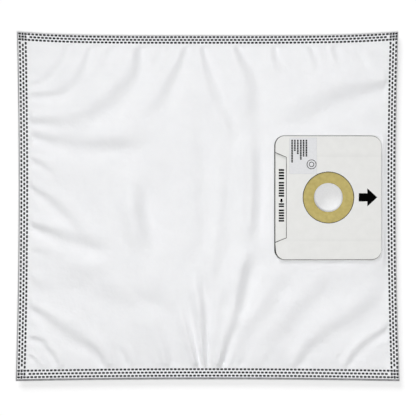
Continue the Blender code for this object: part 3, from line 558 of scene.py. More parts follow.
def front_height(x, y):
    """Height of the front sheet's outer face."""
    u, v = bag_uv(x, y)
    edges = edge_distances(u, v)
    dome = DOME_HEIGHT
    for edge in edges:
        dome = dome * (1 - np.exp(-np.maximum(edge, 0) / DOME_REACH))
    nearest = np.minimum.reduce(edges)
    creases = sum(crease.added(x, y) for crease in CREASES)
    free = dome + (creases + gathers(x, y, edges)) * smooth_step(nearest / CREASE_EASE)
    flat = PORT_Z - FRONT_RIM_Z - (x - PORT_X) * math.tan(COLLAR_TILT)
    hold = 1 - smooth_step((collar_distance(x, y) - COLLAR_MARGIN) / COLLAR_EASE)
    raised = free + (flat - free) * hold + puff(x, y, nearest)
    raised = raised - slide_cut(raised - flat, x, y)
    return FRONT_RIM_Z + raised * smooth_step(nearest / SEAM_EASE)


def rear_height(x, y):
    """Height of the rear sheet's outer face: flat on the ground and rising to the weld."""
    u, v = bag_uv(x, y)
    low = 1.0
    for edge in edge_distances(u, v):
        low = low * (1 - np.maximum(1 - np.maximum(edge, 0) / REAR_REACH, 0) ** 2)
    return REAR_RIM_Z * (1 - low)


def band(outside, inside):
    """Quads between two closed loops of indices."""
    outside = list(outside)
    inside = list(inside)
    return list(zip(outside, outside[1:] + outside[:1], inside[1:] + inside[:1], inside))


class Soup:
    """Points and faces gathered from many places. Points that meet are merged at the end."""

    def __init__(self):
        self.points = []
        self.faces = []
        self.kinds = []

    def add(self, points, faces, kind=FACE):
        """Add points, and faces that index into them."""
        start = len(self.points)
        self.points.extend(points)
        self.faces.extend([tuple(index + start for index in face) for face in faces])
        self.kinds.extend([kind] * len(faces))

    def add_band(self, first, second, kind=FACE):
        """Add quads between two closed loops with the same count of points."""
        count = len(first)
        self.add(first + second, band(range(count), range(count, 2 * count)), kind)

    def build(self, name):
        """One mesh object, merged and shaded smooth, with its faces pointing out."""
        mesh = bpy.data.meshes.new(name)
        mesh.from_pydata(self.points, [], self.faces)
        mesh.polygons.foreach_set("material_index", self.kinds)
        work = bmesh.new()
        work.from_mesh(mesh)
        bmesh.ops.remove_doubles(work, verts=work.verts, dist=MEETING)
        bmesh.ops.recalc_face_normals(work, faces=work.faces)
        work.to_mesh(mesh)
        work.free()
        mesh.shade_smooth()
        made = bpy.data.objects.new(name, mesh)
        bpy.context.scene.collection.objects.link(made)
        return made


def grid_faces(columns, rows, skip=None):
    """Quads of a grid of points, apart from those in the skipped block of cells."""
    faces = []
    for row in range(rows - 1):
        for column in range(columns - 1):
            if skip and skip[0] <= column < skip[1] and skip[2] <= row < skip[3]:
                continue
            a = row * columns + column
            faces.append((a, a + 1, a + 1 + columns, a + columns))
    return faces


def block_border(columns, block):
    """Grid indices round a block of cells, anticlockwise."""
    left, right, low, high = block
    border = [low * columns + column for column in range(left, right)]
    border += [row * columns + right for row in range(low, high)]
    border += [high * columns + column for column in range(right, left, -1)]
    border += [row * columns + left for row in range(high, low, -1)]
    return border


def whole_pitches():
    """Whole weld pitches across the field and up it."""
    across = round((FIELD_RIGHT - FIELD_LEFT) * HALF_WIDTH / DASH_PITCH_X)
    upward = round((FIELD_HIGH - FIELD_LOW) * HALF_HEIGHT / DASH_PITCH_Y)
    return across, upward


def field_grid(hole):
    """Places and faces of a sheet's field, and the indices round the port's hole if it has one.

    It is a grid at every half pitch of the weld, with rings of faces from a block round the port
    to the hole.
    """
    across, upward = whole_pitches()
    u_line = np.linspace(FIELD_LEFT, FIELD_RIGHT, 2 * across + 1)
    v_line = np.linspace(FIELD_LOW, FIELD_HIGH, 2 * upward + 1)
    u, v = np.meshgrid(u_line, v_line)
    x, y = bag_xy(u.ravel(), v.ravel())
    if not hole:
        return x, y, grid_faces(len(u_line), len(v_line)), []
    reach = hole * HOLE_PATCH
    port_u, port_v = bag_uv(PORT_X, PORT_Y)
    block = [int(np.searchsorted(line, port + side * reach / half))
             for line, port, half in ((u_line, port_u, HALF_WIDTH), (v_line, port_v, HALF_HEIGHT))
             for side in (-1, 1)]
    faces = grid_faces(len(u_line), len(v_line), block)
    outside = block_border(len(u_line), block)
    away_x = x[outside] - PORT_X
    away_y = y[outside] - PORT_Y
    far = np.hypot(away_x, away_y)
    for share in HOLE_RINGS:
        radius = hole + (far - hole) * share
        inside = list(range(len(x), len(x) + len(outside)))
        x = np.concatenate([x, PORT_X + away_x * radius / far])
        y = np.concatenate([y, PORT_Y + away_y * radius / far])
        faces += band(outside, inside)
        outside = inside
    return x, y, faces, outside


def sheet_face(soup, height, offset, grid, flip):
    """One face of a sheet's field, offset along its normal. The points round its hole come back."""
    x, y, faces, ring = grid
    z = height(x, y)
    if offset:
        slope_x = (height(x + SLOPE_STEP, y) - z) / SLOPE_STEP
        slope_y = (height(x, y + SLOPE_STEP) - z) / SLOPE_STEP
        inside = np.minimum.reduce(edge_distances(*bag_uv(x, y))) > ON_WELD
        deep = np.where(inside, offset / np.sqrt(1 + slope_x ** 2 + slope_y ** 2), 0)
        rim = np.where(inside, 0, math.copysign(FLANGE, offset))
        x = x + slope_x * deep
        y = y + slope_y * deep
        z = z - deep - rim
    if flip:
        faces = [face[::-1] for face in faces]
    points = list(zip(x, y, z))
    soup.add(points, faces, INSIDE_LIT if offset else FACE)
    return [points[index] for index in ring]


def dash_outline(length, width):
    """A rounded dash round the origin, as points from the middle of its right end."""
    outline = []
    for index in range(DASH_POINTS):
        turn = math.tau * index / DASH_POINTS
        c = math.cos(turn)
        s = math.sin(turn)
        outline.append((math.copysign(abs(c) ** DASH_POWER, c) * length / 2,
                        math.copysign(abs(s) ** DASH_POWER, s) * width / 2))
    return outline


def zipper(outside, inside, outside_points, inside_points):
    """Triangles between two closed loops of indices, whose points lie round the origin."""
    loops = []
    for indices, points in ((outside, outside_points), (inside, inside_points)):
        turns = sorted((math.atan2(y, x) % math.tau, index) for index, (x, y) in zip(indices, points))
        loops.append(turns + [(turns[0][0] + math.tau, turns[0][1])])
    outer, inner = loops
    faces = []
    i = 0
    j = 0
    while i + 1 < len(outer) or j + 1 < len(inner):
        if j + 1 == len(inner) or (i + 1 < len(outer) and outer[i + 1][0] <= inner[j + 1][0]):
            faces.append((outer[i][1], outer[i + 1][1], inner[j][1]))
            i += 1
        else:
            faces.append((outer[i][1], inner[j + 1][1], inner[j][1]))
            j += 1
    return faces


def dash_cell(soup, place, border, centre, sizes, base, depth):
    """A cell of the weld with one pressed dash.

    place turns (along, inset) into x and y, border is the cell's outline and centre its dash's
    place in the same terms, and sizes are those of the dash along and across.
    """
    rim = dash_outline(*sizes)
    floor = dash_outline(*(size - 2 * DASH_SIDE for size in sizes))
    flat = [(along - centre[0], inset - centre[1]) for along, inset in border]
    upper = range(len(border), len(border) + DASH_POINTS)
    lower = range(upper.stop, upper.stop + DASH_POINTS)
    points = [(*place(along, inset), base) for along, inset in border]
    points += [(*place(centre[0] + x, centre[1] + y), base) for x, y in rim]
    points += [(*place(centre[0] + x, centre[1] + y), base - depth) for x, y in floor]
    soup.add(points, zipper(range(len(border)), upper, flat, rim))
    soup.add(points, band(upper, lower) + [tuple(lower)], PRESSED)


def side_lines(side):
    """The three rows' insets from the bag's edge, and the borders of their cells."""
    seam = SEAMS[side]
    step = ROW_STEPS[side]
    rows = [seam - ROW_INSET - step * (2 - number) for number in range(3)]
    borders = [EDGE_SHADE_WIDTHS[side], (rows[0] + rows[1]) / 2, (rows[1] + rows[2]) / 2, seam]
    return rows, borders


def rectangle(left, low, right, high):
    """Corners of a rectangle, anticlockwise."""
    return [(left, low), (right, low), (right, high), (left, high)]


def weld_side(soup, place, side, pitches, pitch, base, depth):
    """The weld along one side: three rows of dashes, the middle one half a pitch along."""
    rows, borders = side_lines(side)
    for row, centre in enumerate(rows):
        low = borders[row]
        high = borders[row + 1]
        shift = 0.5 if row == 1 else 0.0
        count = pitches - 1 if row == 1 else pitches
        for index in range(count):
            start = (index + shift) * pitch
            middle = start + pitch / 2
            end = start + pitch
            border = [(start, low), (middle, low), (end, low), (end, high), (middle, high), (start, high)]
            dash_cell(soup, place, border, (middle, centre), (DASH_LENGTH, DASH_WIDTH), base, depth)
        if row == 1:
            for start in (0.0, (pitches - 0.5) * pitch):
                corners = rectangle(start, low, start + pitch / 2, high)
                soup.add([(*place(along, inset), base) for along, inset in corners], [(0, 1, 2, 3)])


def weld_corner(soup, place, side_x, side_y, base, depth):
    """The weld where two sides cross: dashes of both directions, turn about."""
    rows_x, borders_x = side_lines(side_x)
    rows_y, borders_y = side_lines(side_y)
    for column, across in enumerate(rows_x):
        for row, upward in enumerate(rows_y):
            left, right = borders_x[column:column + 2]
            low, high = borders_y[row:row + 2]
            sizes = (DASH_LENGTH, DASH_WIDTH)
            if (row + column) % 2:
                sizes = (DASH_WIDTH, DASH_LENGTH)
            border = rectangle(left, low, right, high)
            dash_cell(soup, place, border, (across, upward), sizes, base, depth)


def weld_rim(soup, base, depth):
    """The whole welded rim of one sheet, its dashes pressed in by depth."""
    across, upward = whole_pitches()
    long_pitch = (FIELD_RIGHT - FIELD_LEFT) * HALF_WIDTH / across
    short_pitch = (FIELD_HIGH - FIELD_LOW) * HALF_HEIGHT / upward

    def level(sign):
        return lambda along, inset: bag_xy(FIELD_LEFT + along / HALF_WIDTH, sign * (1 - inset / HALF_HEIGHT))

    def upright(sign):
        return lambda along, inset: bag_xy(sign * (1 - inset / HALF_WIDTH), FIELD_LOW + along / HALF_HEIGHT)

    def corner(sign_x, sign_y):
        return lambda a, b: bag_xy(sign_x * (1 - a / HALF_WIDTH), sign_y * (1 - b / HALF_HEIGHT))

    for side_y, sign_y in (("bottom", -1), ("top", 1)):
        weld_side(soup, level(sign_y), side_y, across, long_pitch, base, depth)
        for side_x, sign_x in (("left", -1), ("right", 1)):
            weld_corner(soup, corner(sign_x, sign_y), side_x, side_y, base, depth)
    for side_x, sign_x in (("left", -1), ("right", 1)):
        weld_side(soup, upright(sign_x), side_x, upward, short_pitch, base, depth)


def rim_loop(line, z):
    """Points round the bag at height z, at its edge, at the inner line of the cut edge's painted shade or at
    the field.

    They are at every border of the weld's cells, so that neighbours meet point to point.
    """
    across, upward = whole_pitches()
    lines = []
    for first, last, half, low, high, count in (
            ("left", "right", HALF_WIDTH, FIELD_LEFT, FIELD_RIGHT, across),
            ("bottom", "top", HALF_HEIGHT, FIELD_LOW, FIELD_HIGH, upward)):
        start = [-1.0] + [inset / half - 1 for inset in side_lines(first)[1][:3]]
        end = [1.0] + [1 - inset / half for inset in side_lines(last)[1][:3]]
        lines.append(start + list(np.linspace(low, high, 2 * count + 1)) + end[::-1])
    long_side, short_side = lines
    loop = [(u, -1.0) for u in long_side[:-1]] + [(1.0, v) for v in short_side[:-1]]
    loop += [(u, 1.0) for u in reversed(long_side[1:])] + [(-1.0, v) for v in reversed(short_side[1:])]
    left, right, low, high = {
        "edge": (-1.0, 1.0, -1.0, 1.0),
        "cut": (EDGE_SHADE_WIDTHS["left"] / HALF_WIDTH - 1, 1 - EDGE_SHADE_WIDTHS["right"] / HALF_WIDTH,
                EDGE_SHADE_WIDTHS["bottom"] / HALF_HEIGHT - 1, 1 - EDGE_SHADE_WIDTHS["top"] / HALF_HEIGHT),
        "field": (FIELD_LEFT, FIELD_RIGHT, FIELD_LOW, FIELD_HIGH)}[line]
    return [(*bag_xy(min(max(u, left), right), min(max(v, low), high)), z) for u, v in loop]


def rim_edges(soup, near, far):
    """The cut edge round the weld and its wall, both painted grey as shade, and the plain face of the rim at
    height far.
    """
    round_down = near + (far - near) * CUT_ROUND
    soup.add_band(rim_loop("edge", round_down), rim_loop("cut", near), SHADED_EDGE)
    soup.add_band(rim_loop("edge", round_down), rim_loop("edge", far), SHADED_EDGE)
    soup.add_band(rim_loop("edge", far), rim_loop("field", far))


def make_sheet(name, height, rim, offset, depth, hole):
    """A closed sheet: its outer face with the weld's dashes, its plain inner face and its edges."""
    soup = Soup()
    flip = offset < 0
    grid = field_grid(hole)
    outer_ring = sheet_face(soup, height, 0.0, grid, flip)
    inner_ring = sheet_face(soup, height, offset, grid, not flip)
    weld_rim(soup, rim, depth)
    rim_edges(soup, rim, rim - math.copysign(FLANGE, offset))
    if hole:
        soup.add_band(outer_ring, inner_ring)
    return soup.build(name)


def collar_place(x, y, w):
    """World place of a point in the collar's own frame, from the centre of the port."""
    return (PORT_X + x * math.cos(COLLAR_TILT) + w * math.sin(COLLAR_TILT), PORT_Y + y,
            PORT_Z - x * math.sin(COLLAR_TILT) + w * math.cos(COLLAR_TILT))


def circle(radius, centre=(0, 0)):
    """Points of a circle, anticlockwise."""
    turns = [math.tau * index / HOLE_STEPS for index in range(HOLE_STEPS)]
    return [(centre[0] + radius * math.cos(turn), centre[1] + radius * math.sin(turn)) for turn in turns]


def rounded(corners):
    """Outline through corners given as (x, y, radius), anticlockwise, each corner an arc."""
    outline = []
    count = len(corners)
    for index, (x, y, radius) in enumerate(corners):
        here = Vector((x, y))
        if radius == 0:
            outline.append((x, y))
            continue
        back = (Vector(corners[index - 1][:2]) - here).normalized()
        ahead = (Vector(corners[(index + 1) % count][:2]) - here).normalized()
        half = back.angle(ahead) / 2
        centre = here + (back + ahead).normalized() * radius / math.sin(half)
        first = here + back * radius / math.tan(half) - centre
        last = here + ahead * radius / math.tan(half) - centre
        turn = first.angle_signed(last)
        for step in range(CORNER_STEPS + 1):
            angle = -turn * step / CORNER_STEPS
            outline.append((centre.x + first.x * math.cos(angle) - first.y * math.sin(angle),
                            centre.y + first.x * math.sin(angle) + first.y * math.cos(angle)))
    return outline


def outward(loop):
    """Outward direction at each point of an anticlockwise loop, longer at a sharp corner."""
    result = []
    for before, here, after in zip(loop[-1:] + loop[:-1], loop, loop[1:] + loop[:1]):
        normals = []
        for a, b in ((before, here), (here, after)):
            edge = Vector(b) - Vector(a)
            normals.append(Vector((edge.y, -edge.x)).normalized())
        result.append((normals[0] + normals[1]) / (1 + normals[0].dot(normals[1])))
    return result


def board_edge(x, y, normal):
    """Width of the dark cut edge that shows at a place of the card's outline: partly board core, partly
    painted shade.
    """
    if x > -COLLAR_LEFT + EDGE_LEFT and normal.x < 0 and abs(y) < NOTCH_HALF_OUTER:
        return EDGE_NOTCH
    left = EDGE_LOWER_LEFT if y < -NOTCH_HALF_OUTER else EDGE_LEFT
    level = normal.x * (left if normal.x < 0 else EDGE_RIGHT)
    upright = normal.y * (EDGE_BOTTOM if normal.y < 0 else EDGE_TOP)
    return math.hypot(level, upright)


def bevelled_plate(soup, loops, low, thickness, edges, drop=EDGE_DROP):
    """A closed plate in the collar's frame with bevelled cut edges.

    The first loop is the outline and the rest are holes, all anticlockwise. edges has for each
    loop the cut edge's width, as a number or as a function of the place and its normal.
    """
    high = low + thickness
    rims = []
    for number, (loop, edge) in enumerate(zip(loops, edges)):
        sign = -1 if number == 0 else 1
        rim = []
        for (x, y), normal in zip(loop, outward(loop)):
            width = edge(x, y, normal.normalized()) if callable(edge) else edge
            rim.append((x + sign * normal.x * width, y + sign * normal.y * width))
        rims.append(rim)
    for ends, height, up in ((rims, high, True), (loops, low, False)):
        points = [point for end in ends for point in end]
        faces = []
        for triangle in tessellate_polygon([[Vector((x, y, 0)) for x, y in end] for end in ends]):
            a, b, c = (Vector(points[index]) for index in triangle)
            anticlockwise = (b - a).cross(c - a) > 0
            faces.append(tuple(triangle) if anticlockwise == up else tuple(reversed(triangle)))
        soup.add([collar_place(x, y, height) for x, y in points], faces)
    for number, (loop, rim) in enumerate(zip(loops, rims)):
        levels = [[collar_place(x, y, w) for x, y in places]
                  for places, w in ((loop, low), (loop, high - drop), (rim, high))]
        for first, second in zip(levels, levels[1:]):
            if number == 0:
                soup.add_band(first, second, PLATE_EDGE)
            else:
                soup.add_band(second, first, PLATE_EDGE)


def collar_corners():
    """Corners of the collar card with their radii, from the centre of the port."""
    corners = rectangle(-COLLAR_LEFT, -COLLAR_DOWN, COLLAR_RIGHT, COLLAR_UP)
    return [(*corner, COLLAR_CORNER) for corner in corners]


def make_plate(name, loops, low, thickness, edges, drop=EDGE_DROP):
    """A piece that is one bevelled plate."""
    soup = Soup()
    bevelled_plate(soup, loops, low, thickness, edges, drop)
    return soup.build(name)


def make_face_card():
    """The face card, with the round hole over the gasket and the notch over the pull tab."""
    notch = [(-COLLAR_LEFT, NOTCH_HALF_OUTER, 0), (-COLLAR_LEFT + NOTCH_DEPTH, NOTCH_HALF_INNER, 0),
             (-COLLAR_LEFT + NOTCH_DEPTH, -NOTCH_HALF_INNER, 0), (-COLLAR_LEFT, -NOTCH_HALF_OUTER, 0)]
    loops = [rounded(collar_corners() + notch), circle(FACE_HOLE / 2)]
    return make_plate("face_card", loops, FACE_W, CARD, (board_edge, EDGE_HOLE))


def make_back_card():
    """The card glued to the front sheet."""
    loops = [rounded(collar_corners()), circle(BACK_HOLE)]
    return make_plate("back_card", loops, BACK_CARD_W, CARD, (board_edge, EDGE_HOLE))


def make_slide():
    """The card that slides to the left and closes the port, with its pull tab."""
    left = -COLLAR_LEFT + SLIDE_INSET
    half = CHANNEL_HALF - GAP
    ear = CHANNEL_HALF + EAR_DEPTH - GAP
    ear_left = SLIDE_RIGHT - EAR_LENGTH
    corners = [(left, -half, SLIDE_CORNER), (ear_left, -half, 0), (ear_left, -ear, 0),
               (SLIDE_RIGHT, -ear, 0), (SLIDE_RIGHT, ear, 0), (ear_left, ear, 0),
               (ear_left, half, 0), (left, half, SLIDE_CORNER)]
    loops = [rounded(corners), circle(SLIDE_HOLE)]
    return make_plate("slide_card", loops, SLIDE_W, CARD, (EDGE_SLIDE, EDGE_SLIDE))


def make_label():
    """The small paper label in the card's upper left corner, with a thin cut edge painted grey as the shadow
    under its edge.
    """
    left = -COLLAR_LEFT + LABEL_INSET_X
    high = COLLAR_UP - LABEL_INSET_Y
    corners = rectangle(left, high - LABEL_HEIGHT, left + LABEL_WIDTH, high)
    outline = rounded([(*corner, LABEL_CORNER) for corner in corners])
    return make_plate("label", [outline], ON_FACE_W, PRINT, [LABEL_BORDER], LABEL_LIFT)


def stroke_bars(x, width, start, end, pitch, share):
    """Rectangles across a line of print that runs down from start to end."""
    bars = []
    count = max(int((start - end) / pitch), 1)
    step = (start - end) / count
    for index in range(count):
        high = start - index * step
        bars.append(rectangle(x - width / 2, high - step * share, x + width / 2, high))
    return bars


def make_print(name, outlines, low):
    """Thin plain shapes of ink. An outline is a loop, or a pair of loops for a ring."""
    soup = Soup()
    for outline in outlines:
        loops = list(outline) if isinstance(outline, tuple) else [outline]
        bevelled_plate(soup, loops, low, INK, [INK] * len(loops), INK / 2)
    return soup.build(name)


def make_arrow():
    """The printed arrow to the right of the gasket."""
    neck = ARROW_TAIL + ARROW_SHAFT
    outline = [(ARROW_TAIL, ARROW_Y - ARROW_HALF_SHAFT), (neck, ARROW_Y - ARROW_HALF_SHAFT),
               (neck, ARROW_Y - ARROW_HALF_HEAD), (neck + ARROW_HEAD, ARROW_Y),
               (neck, ARROW_Y + ARROW_HALF_HEAD), (neck, ARROW_Y + ARROW_HALF_SHAFT),
               (ARROW_TAIL, ARROW_Y + ARROW_HALF_SHAFT)]
    return make_print("arrow", [outline], ON_FACE_W)


def make_label_print():
    """Lines of strokes and a plain ring on the label."""
    shapes = []
    for x, end in COLUMNS:
        shapes += stroke_bars(x, COLUMN_WIDTH, COLUMN_TOP, end, STROKE_PITCH, STROKE_SHARE)
    for radius in RING_MARK_RADII:
        shapes.append((circle(radius, RING_MARK), circle(radius - RING_MARK_LINE, RING_MARK)))
    return make_print("label_print", shapes, ON_FACE_W + PRINT + LABEL_LIFT)


def make_tab_print():
    """Lines of strokes and a small arrow on the slide's pull tab."""
    shapes = []
    for start, end in TAB_BARS:
        shapes += stroke_bars(TAB_X, TAB_WIDTH, start, end, TAB_PITCH, TAB_SHARE)
    high, low = TAB_ARROW
    middle = (high + low) / 2
    half = TAB_ARROW_HALF
    shapes.append([(TAB_X, low), (TAB_X + half, middle), (TAB_X + half / 2, middle),
                   (TAB_X + half / 2, high), (TAB_X - half / 2, high), (TAB_X - half / 2, middle),
                   (TAB_X - half, middle)])
    return make_print("tab_print", shapes, SLIDE_W + CARD + LABEL_LIFT)


def make_gasket():
    """The rubber ring: a turned profile with rounded edges and a thin soft lip at the bore."""
    outer = FACE_HOLE / 2 + GASKET_LAP
    bore = GASKET_BORE / 2
    half = GASKET_THICKNESS / 2
    middle = GASKET_W + half
    upper = []
    for step in range(GASKET_STEPS + 1):
        radius = outer + (bore + GASKET_NOSE - outer) * step / GASKET_STEPS
        lip = float(smooth_step((radius - bore) / GASKET_TAPER))
        upper.append((radius, half * (GASKET_LIP + (1 - GASKET_LIP) * lip)))
    upper += [(bore + GASKET_NOSE - GASKET_NOSE * math.sin(turn), half * GASKET_LIP * math.cos(turn))
              for turn in NOSE_TURNS]
    profile = [(radius, middle + w) for radius, w in upper]
    profile += [(radius, middle - w) for radius, w in reversed(upper[:-1])]
    soup = Soup()
    rings = []
    for step in range(GASKET_SEGMENTS):
        turn = math.tau * step / GASKET_SEGMENTS
        rings.append([collar_place(radius * math.cos(turn), radius * math.sin(turn), w)
                      for radius, w in profile])
    for here, ahead in zip(rings, rings[1:] + rings[:1]):
        soup.add_band(ahead, here)
    return soup.build("gasket_ring")


def put(node, values):
    """Set a node's inputs by name."""
    for name, value in values.items():
        node.inputs[name].default_value = value


def add_noise(tree, scale, detail, grain):
    """A noise in the object's own coordinates, in metres times scale."""
    place = tree.nodes.new("ShaderNodeTexCoord")
    noise = tree.nodes.new("ShaderNodeTexNoise")
    put(noise, {"Scale": scale, "Detail": detail, "Roughness": grain})
    tree.links.new(place.outputs["Object"], noise.inputs["Vector"])
    return noise.outputs["Fac"]


def add_ramp(tree, factor, stops):
    """A colour ramp through (position, colour) stops."""
    ramp = tree.nodes.new("ShaderNodeValToRGB")
    elements = ramp.color_ramp.elements
    for element, (position, colour) in zip(elements, (stops[0], stops[-1])):
        element.position = position
        element.color = (*colour, 1)
    for position, colour in stops[1:-1]:
        elements.new(position).color = (*colour, 1)
    tree.links.new(factor, ramp.inputs["Fac"])
    return ramp.outputs["Color"]


def add_bump(tree, height, strength, distance, below=None):
    """Bump from a height, on top of an earlier bump if there is one."""
    bump = tree.nodes.new("ShaderNodeBump")
    put(bump, {"Strength": strength, "Distance": distance})
    tree.links.new(height, bump.inputs["Height"])
    if below is not None:
        tree.links.new(below, bump.inputs["Normal"])
    tree.links.new(bump.outputs["Normal"], tree.nodes["Principled BSDF"].inputs["Normal"])
    return bump.outputs["Normal"]


def cloudy_material(name, shade, light, scale, detail, grain, roughness, specular):
    """A material whose colour drifts between two tones."""
    made = bpy.data.materials.new(name)
    made.use_nodes = True
    tree = made.node_tree
    shader = tree.nodes["Principled BSDF"]
    tones = add_ramp(tree, add_noise(tree, scale, detail, grain), [(CLOUD_LOW, shade), (CLOUD_HIGH, light)])
    tree.links.new(tones, shader.inputs["Base Color"])
    put(shader, {"Roughness": roughness, "Specular IOR Level": specular})
    return made


def plain_material(name, colour, roughness, specular):
    """Paper, ink, the sheets' inside painted lighter as light, or a dark cut edge, painted shade on the
    label and partly painted shade on the board, in one colour, with a faint grain.
    """
    shade = [channel * (1 - PLAIN_DRIFT) for channel in colour]
    light = [min(channel * (1 + PLAIN_DRIFT), 1) for channel in colour]
    return cloudy_material(name, shade, light, *PLAIN_CLOUD, roughness, specular)


def fabric_material(name):
    """White spunbond fabric: thin enough for light to soak through, faintly cloudy and matt."""
    made = cloudy_material(name, *SPUNBOND)
    tree = made.node_tree
    put(tree.nodes["Principled BSDF"],
        {"Sheen Weight": FABRIC_SHEEN, "Subsurface Weight": FABRIC_SOAK,
         "Subsurface Radius": (1.0, 1.0, 1.0), "Subsurface Scale": SOAK_DEPTH})
    bonds = tree.nodes.new("ShaderNodeTexVoronoi")
    put(bonds, {"Scale": BOND_SCALE})
    place = tree.nodes.new("ShaderNodeTexCoord")
    tree.links.new(place.outputs["Object"], bonds.inputs["Vector"])
    fibres = add_bump(tree, add_noise(tree, *FIBRES), *FIBRE_BUMP)
    bonded = add_bump(tree, bonds.outputs["Distance"], *BOND_BUMP, fibres)
    add_bump(tree, add_noise(tree, *SLACK), *SLACK_BUMP, bonded)
    return made


def paint_press_shade(tree):
    """Paint faint shade on the board along the two lines where the slide's edges press through."""
    place = tree.nodes.new("ShaderNodeTexCoord")
    split = tree.nodes.new("ShaderNodeSeparateXYZ")
    tree.links.new(place.outputs["Object"], split.inputs["Vector"])
    span = tree.nodes.new("ShaderNodeMapRange")
    put(span, {"From Min": PORT_Y - COLLAR_DOWN, "From Max": PORT_Y + COLLAR_UP})
    tree.links.new(split.outputs["Y"], span.inputs["Value"])
    plain = (1.0, 1.0, 1.0)
    dim = (PRESS_SHADE, PRESS_SHADE, PRESS_SHADE)
    stops = [(0.0, plain)]
    for low, high in PRESS_SHADE_BANDS:
        first = (low + COLLAR_DOWN) / COLLAR_HEIGHT
        last = (high + COLLAR_DOWN) / COLLAR_HEIGHT
        stops += [(first - PRESS_EASE, plain), (first, dim), (last, plain)]
    lines = add_ramp(tree, span.outputs["Result"], stops + [(1.0, plain)])
    mix = tree.nodes.new("ShaderNodeMix")
    mix.data_type = "RGBA"
    mix.blend_type = "MULTIPLY"
    put(mix, {"Factor": 1.0})
    colour = tree.nodes["Principled BSDF"].inputs["Base Color"]
    tree.links.new(colour.links[0].from_socket, mix.inputs["A"])
    tree.links.new(lines, mix.inputs["B"])
    tree.links.new(mix.outputs["Result"], colour)


def grained_material(name, tones, noise, bump):
    """Board or rubber: a cloudy colour and a fine grain in the surface."""
    made = cloudy_material(name, *tones)
    add_bump(made.node_tree, add_noise(made.node_tree, *noise), *bump)
    return made


def place_piece(item, body, node, slot, sharp, *surfaces):
    """Materials, sharp edges, body and replaced node of one made piece; its slot is not used."""
    for surface in surfaces:
        item.data.materials.append(surface)
    item.data.set_sharp_from_angle(angle=sharp)
    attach(item, body)
    if node:
        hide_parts(node)


def make_bag():
    """Both sheets, the collar's layers, the gasket and the print."""
    inside_painted_light, core_and_shade, ink, paper, paper_edge_shade = (plain_material(*values) for values in PLAIN_SURFACES)
    # The sheets' other materials: pressed dashes, the cut edge painted grey as shade, and the inner faces
    # painted lighter than the fabric
    inside = [cloudy_material("pressed_fabric", *PRESSED_FABRIC),
              cloudy_material("painted_edge_shade", *PAINTED_EDGE_SHADE), inside_painted_light]
    front = make_sheet("front_sheet", front_height, FRONT_RIM_Z, FABRIC, DASH_DEPTH, FABRIC_HOLE)
    rear = make_sheet("rear_sheet", rear_height, REAR_RIM_Z, -FABRIC, -DASH_DEPTH, None)
    place_piece(front, "bag", "front_panel", "fabric", SHARP, fabric_material("spunbond_front"), *inside)
    place_piece(rear, "bag", "rear_panel", "fabric", SHARP, fabric_material("spunbond_rear"), *inside)

    board = grained_material("collar_board", BOARD, BOARD_FIBRES, BOARD_BUMP)
    # Faint painted shade along the lines where the slide's edges press through the face card
    paint_press_shade(board.node_tree)
    inner_board = grained_material("inner_board", BOARD, BOARD_FIBRES, BOARD_BUMP)
    rubber = grained_material("gum_rubber", RUBBER, RUBBER_GRAIN, RUBBER_BUMP)
    place_piece(make_back_card(), "bag", "collar_back_card", "card", BOARD_SHARP, inner_board, core_and_shade)
    place_piece(make_slide(), "slide", "seal_slide", "slide_card", BOARD_SHARP, inner_board, core_and_shade)
    place_piece(make_gasket(), "bag", "gasket", "rubber", SHARP, rubber)
    place_piece(make_face_card(), "bag", "collar_face_card", "card", BOARD_SHARP, board, core_and_shade)
    place_piece(make_label(), "bag", "collar_label", "label_paper", BOARD_SHARP, paper, paper_edge_shade)
    place_piece(make_arrow(), "bag", "arrow_print", "ink", BOARD_SHARP, ink, ink)
    place_piece(make_label_print(), "bag", None, "ink", BOARD_SHARP, ink, ink)
    place_piece(make_tab_print(), "slide", None, "ink", BOARD_SHARP, ink, ink)
    for node in ("guide_rail_upper", "guide_rail_lower"):
        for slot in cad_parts[node].material_slots:
            slot.material = inner_board


def seen_strength(tree, plain, seen, *others):
    """A strength that differs where the camera sees the surface, itself or by the other rays."""
    path = tree.nodes.new("ShaderNodeLightPath")
    rays = path.outputs["Is Camera Ray"]
    for name in others:
        either = tree.nodes.new("ShaderNodeMath")
        either.operation = "MAXIMUM"
        tree.links.new(rays, either.inputs[0])
        tree.links.new(path.outputs[name], either.inputs[1])
        rays = either.outputs[0]
    strength = tree.nodes.new("ShaderNodeMix")
    strength.data_type = "FLOAT"
    put(strength, {"A": plain, "B": seen})
    tree.links.new(rays, strength.inputs["Factor"])
    return strength.outputs["Result"]


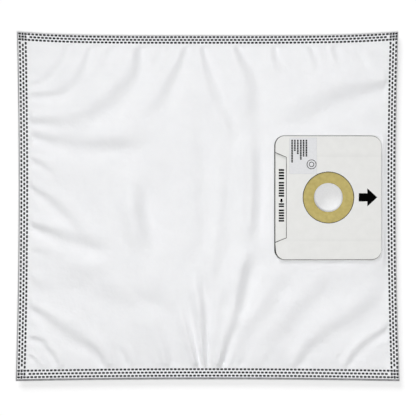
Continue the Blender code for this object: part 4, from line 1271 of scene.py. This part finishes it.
def make_floor():
    """A plain white floor that keeps the bag's shadow."""
    bpy.ops.mesh.primitive_plane_add(size=FLOOR_SIZE, location=(0, 0, -FLOOR_DROP))
    floor = bpy.context.object
    floor.name = "floor"
    white = bpy.data.materials.new("floor_white")
    white.use_nodes = True
    shader = white.node_tree.nodes["Principled BSDF"]
    put(shader, {"Base Color": (FLOOR_COLOUR, FLOOR_COLOUR, FLOOR_COLOUR, 1), "Roughness": 1.0,
                 "Specular IOR Level": 0.0, "Emission Color": (1, 1, 1, 1)})
    lift = seen_strength(white.node_tree, 0.0, FLOOR_LIFT, "Is Glossy Ray", "Is Transmission Ray")
    white.node_tree.links.new(lift, shader.inputs["Emission Strength"])
    floor.data.materials.append(white)


def make_sky():
    """Even white light from all round."""
    world = bpy.data.worlds.new("studio")
    bpy.context.scene.world = world
    world.use_nodes = True
    background = world.node_tree.nodes["Background"]
    put(background, {"Color": (1, 1, 1, 1)})
    strength = seen_strength(world.node_tree, SKY_STRENGTH, 1.0, "Is Glossy Ray")
    world.node_tree.links.new(strength, background.inputs["Strength"])


def make_lamps():
    """The round lamps, each turned to the bag."""
    for name, azimuth, elevation, size, distance, power in LAMPS:
        lamp = bpy.data.lights.new(name, "AREA")
        lamp.shape = "DISK"
        lamp.size = size
        lamp.energy = power
        holder = bpy.data.objects.new(name, lamp)
        turn = math.radians(azimuth)
        rise = math.radians(elevation)
        away = Vector((math.cos(turn) * math.cos(rise), math.sin(turn) * math.cos(rise), math.sin(rise)))
        holder.location = away * distance
        holder.rotation_mode = "QUATERNION"
        holder.rotation_quaternion = away.to_track_quat("Z", "Y")
        holder.visible_camera = False
        bpy.context.scene.collection.objects.link(holder)


def make_camera():
    """The camera straight above, at the scale and offset of the photograph."""
    lens = bpy.data.cameras.new("camera")
    lens.lens = LENS
    lens.sensor_width = SENSOR
    lens.clip_end = CLIP_END
    camera = bpy.data.objects.new("camera", lens)
    distance = FRAME_WIDTH * PIXEL * LENS / SENSOR
    camera.location = ((FRAME_WIDTH / 2 - BAG_MIDDLE[0]) * PIXEL, -(FRAME_WIDTH / 2 - BAG_MIDDLE[1]) * PIXEL,
                       FRONT_RIM_Z + distance)
    bpy.context.scene.collection.objects.link(camera)
    bpy.context.scene.camera = camera
    bpy.context.scene.view_settings.view_transform = "Standard"


make_bag()
make_floor()
make_sky()
make_lamps()
make_camera()
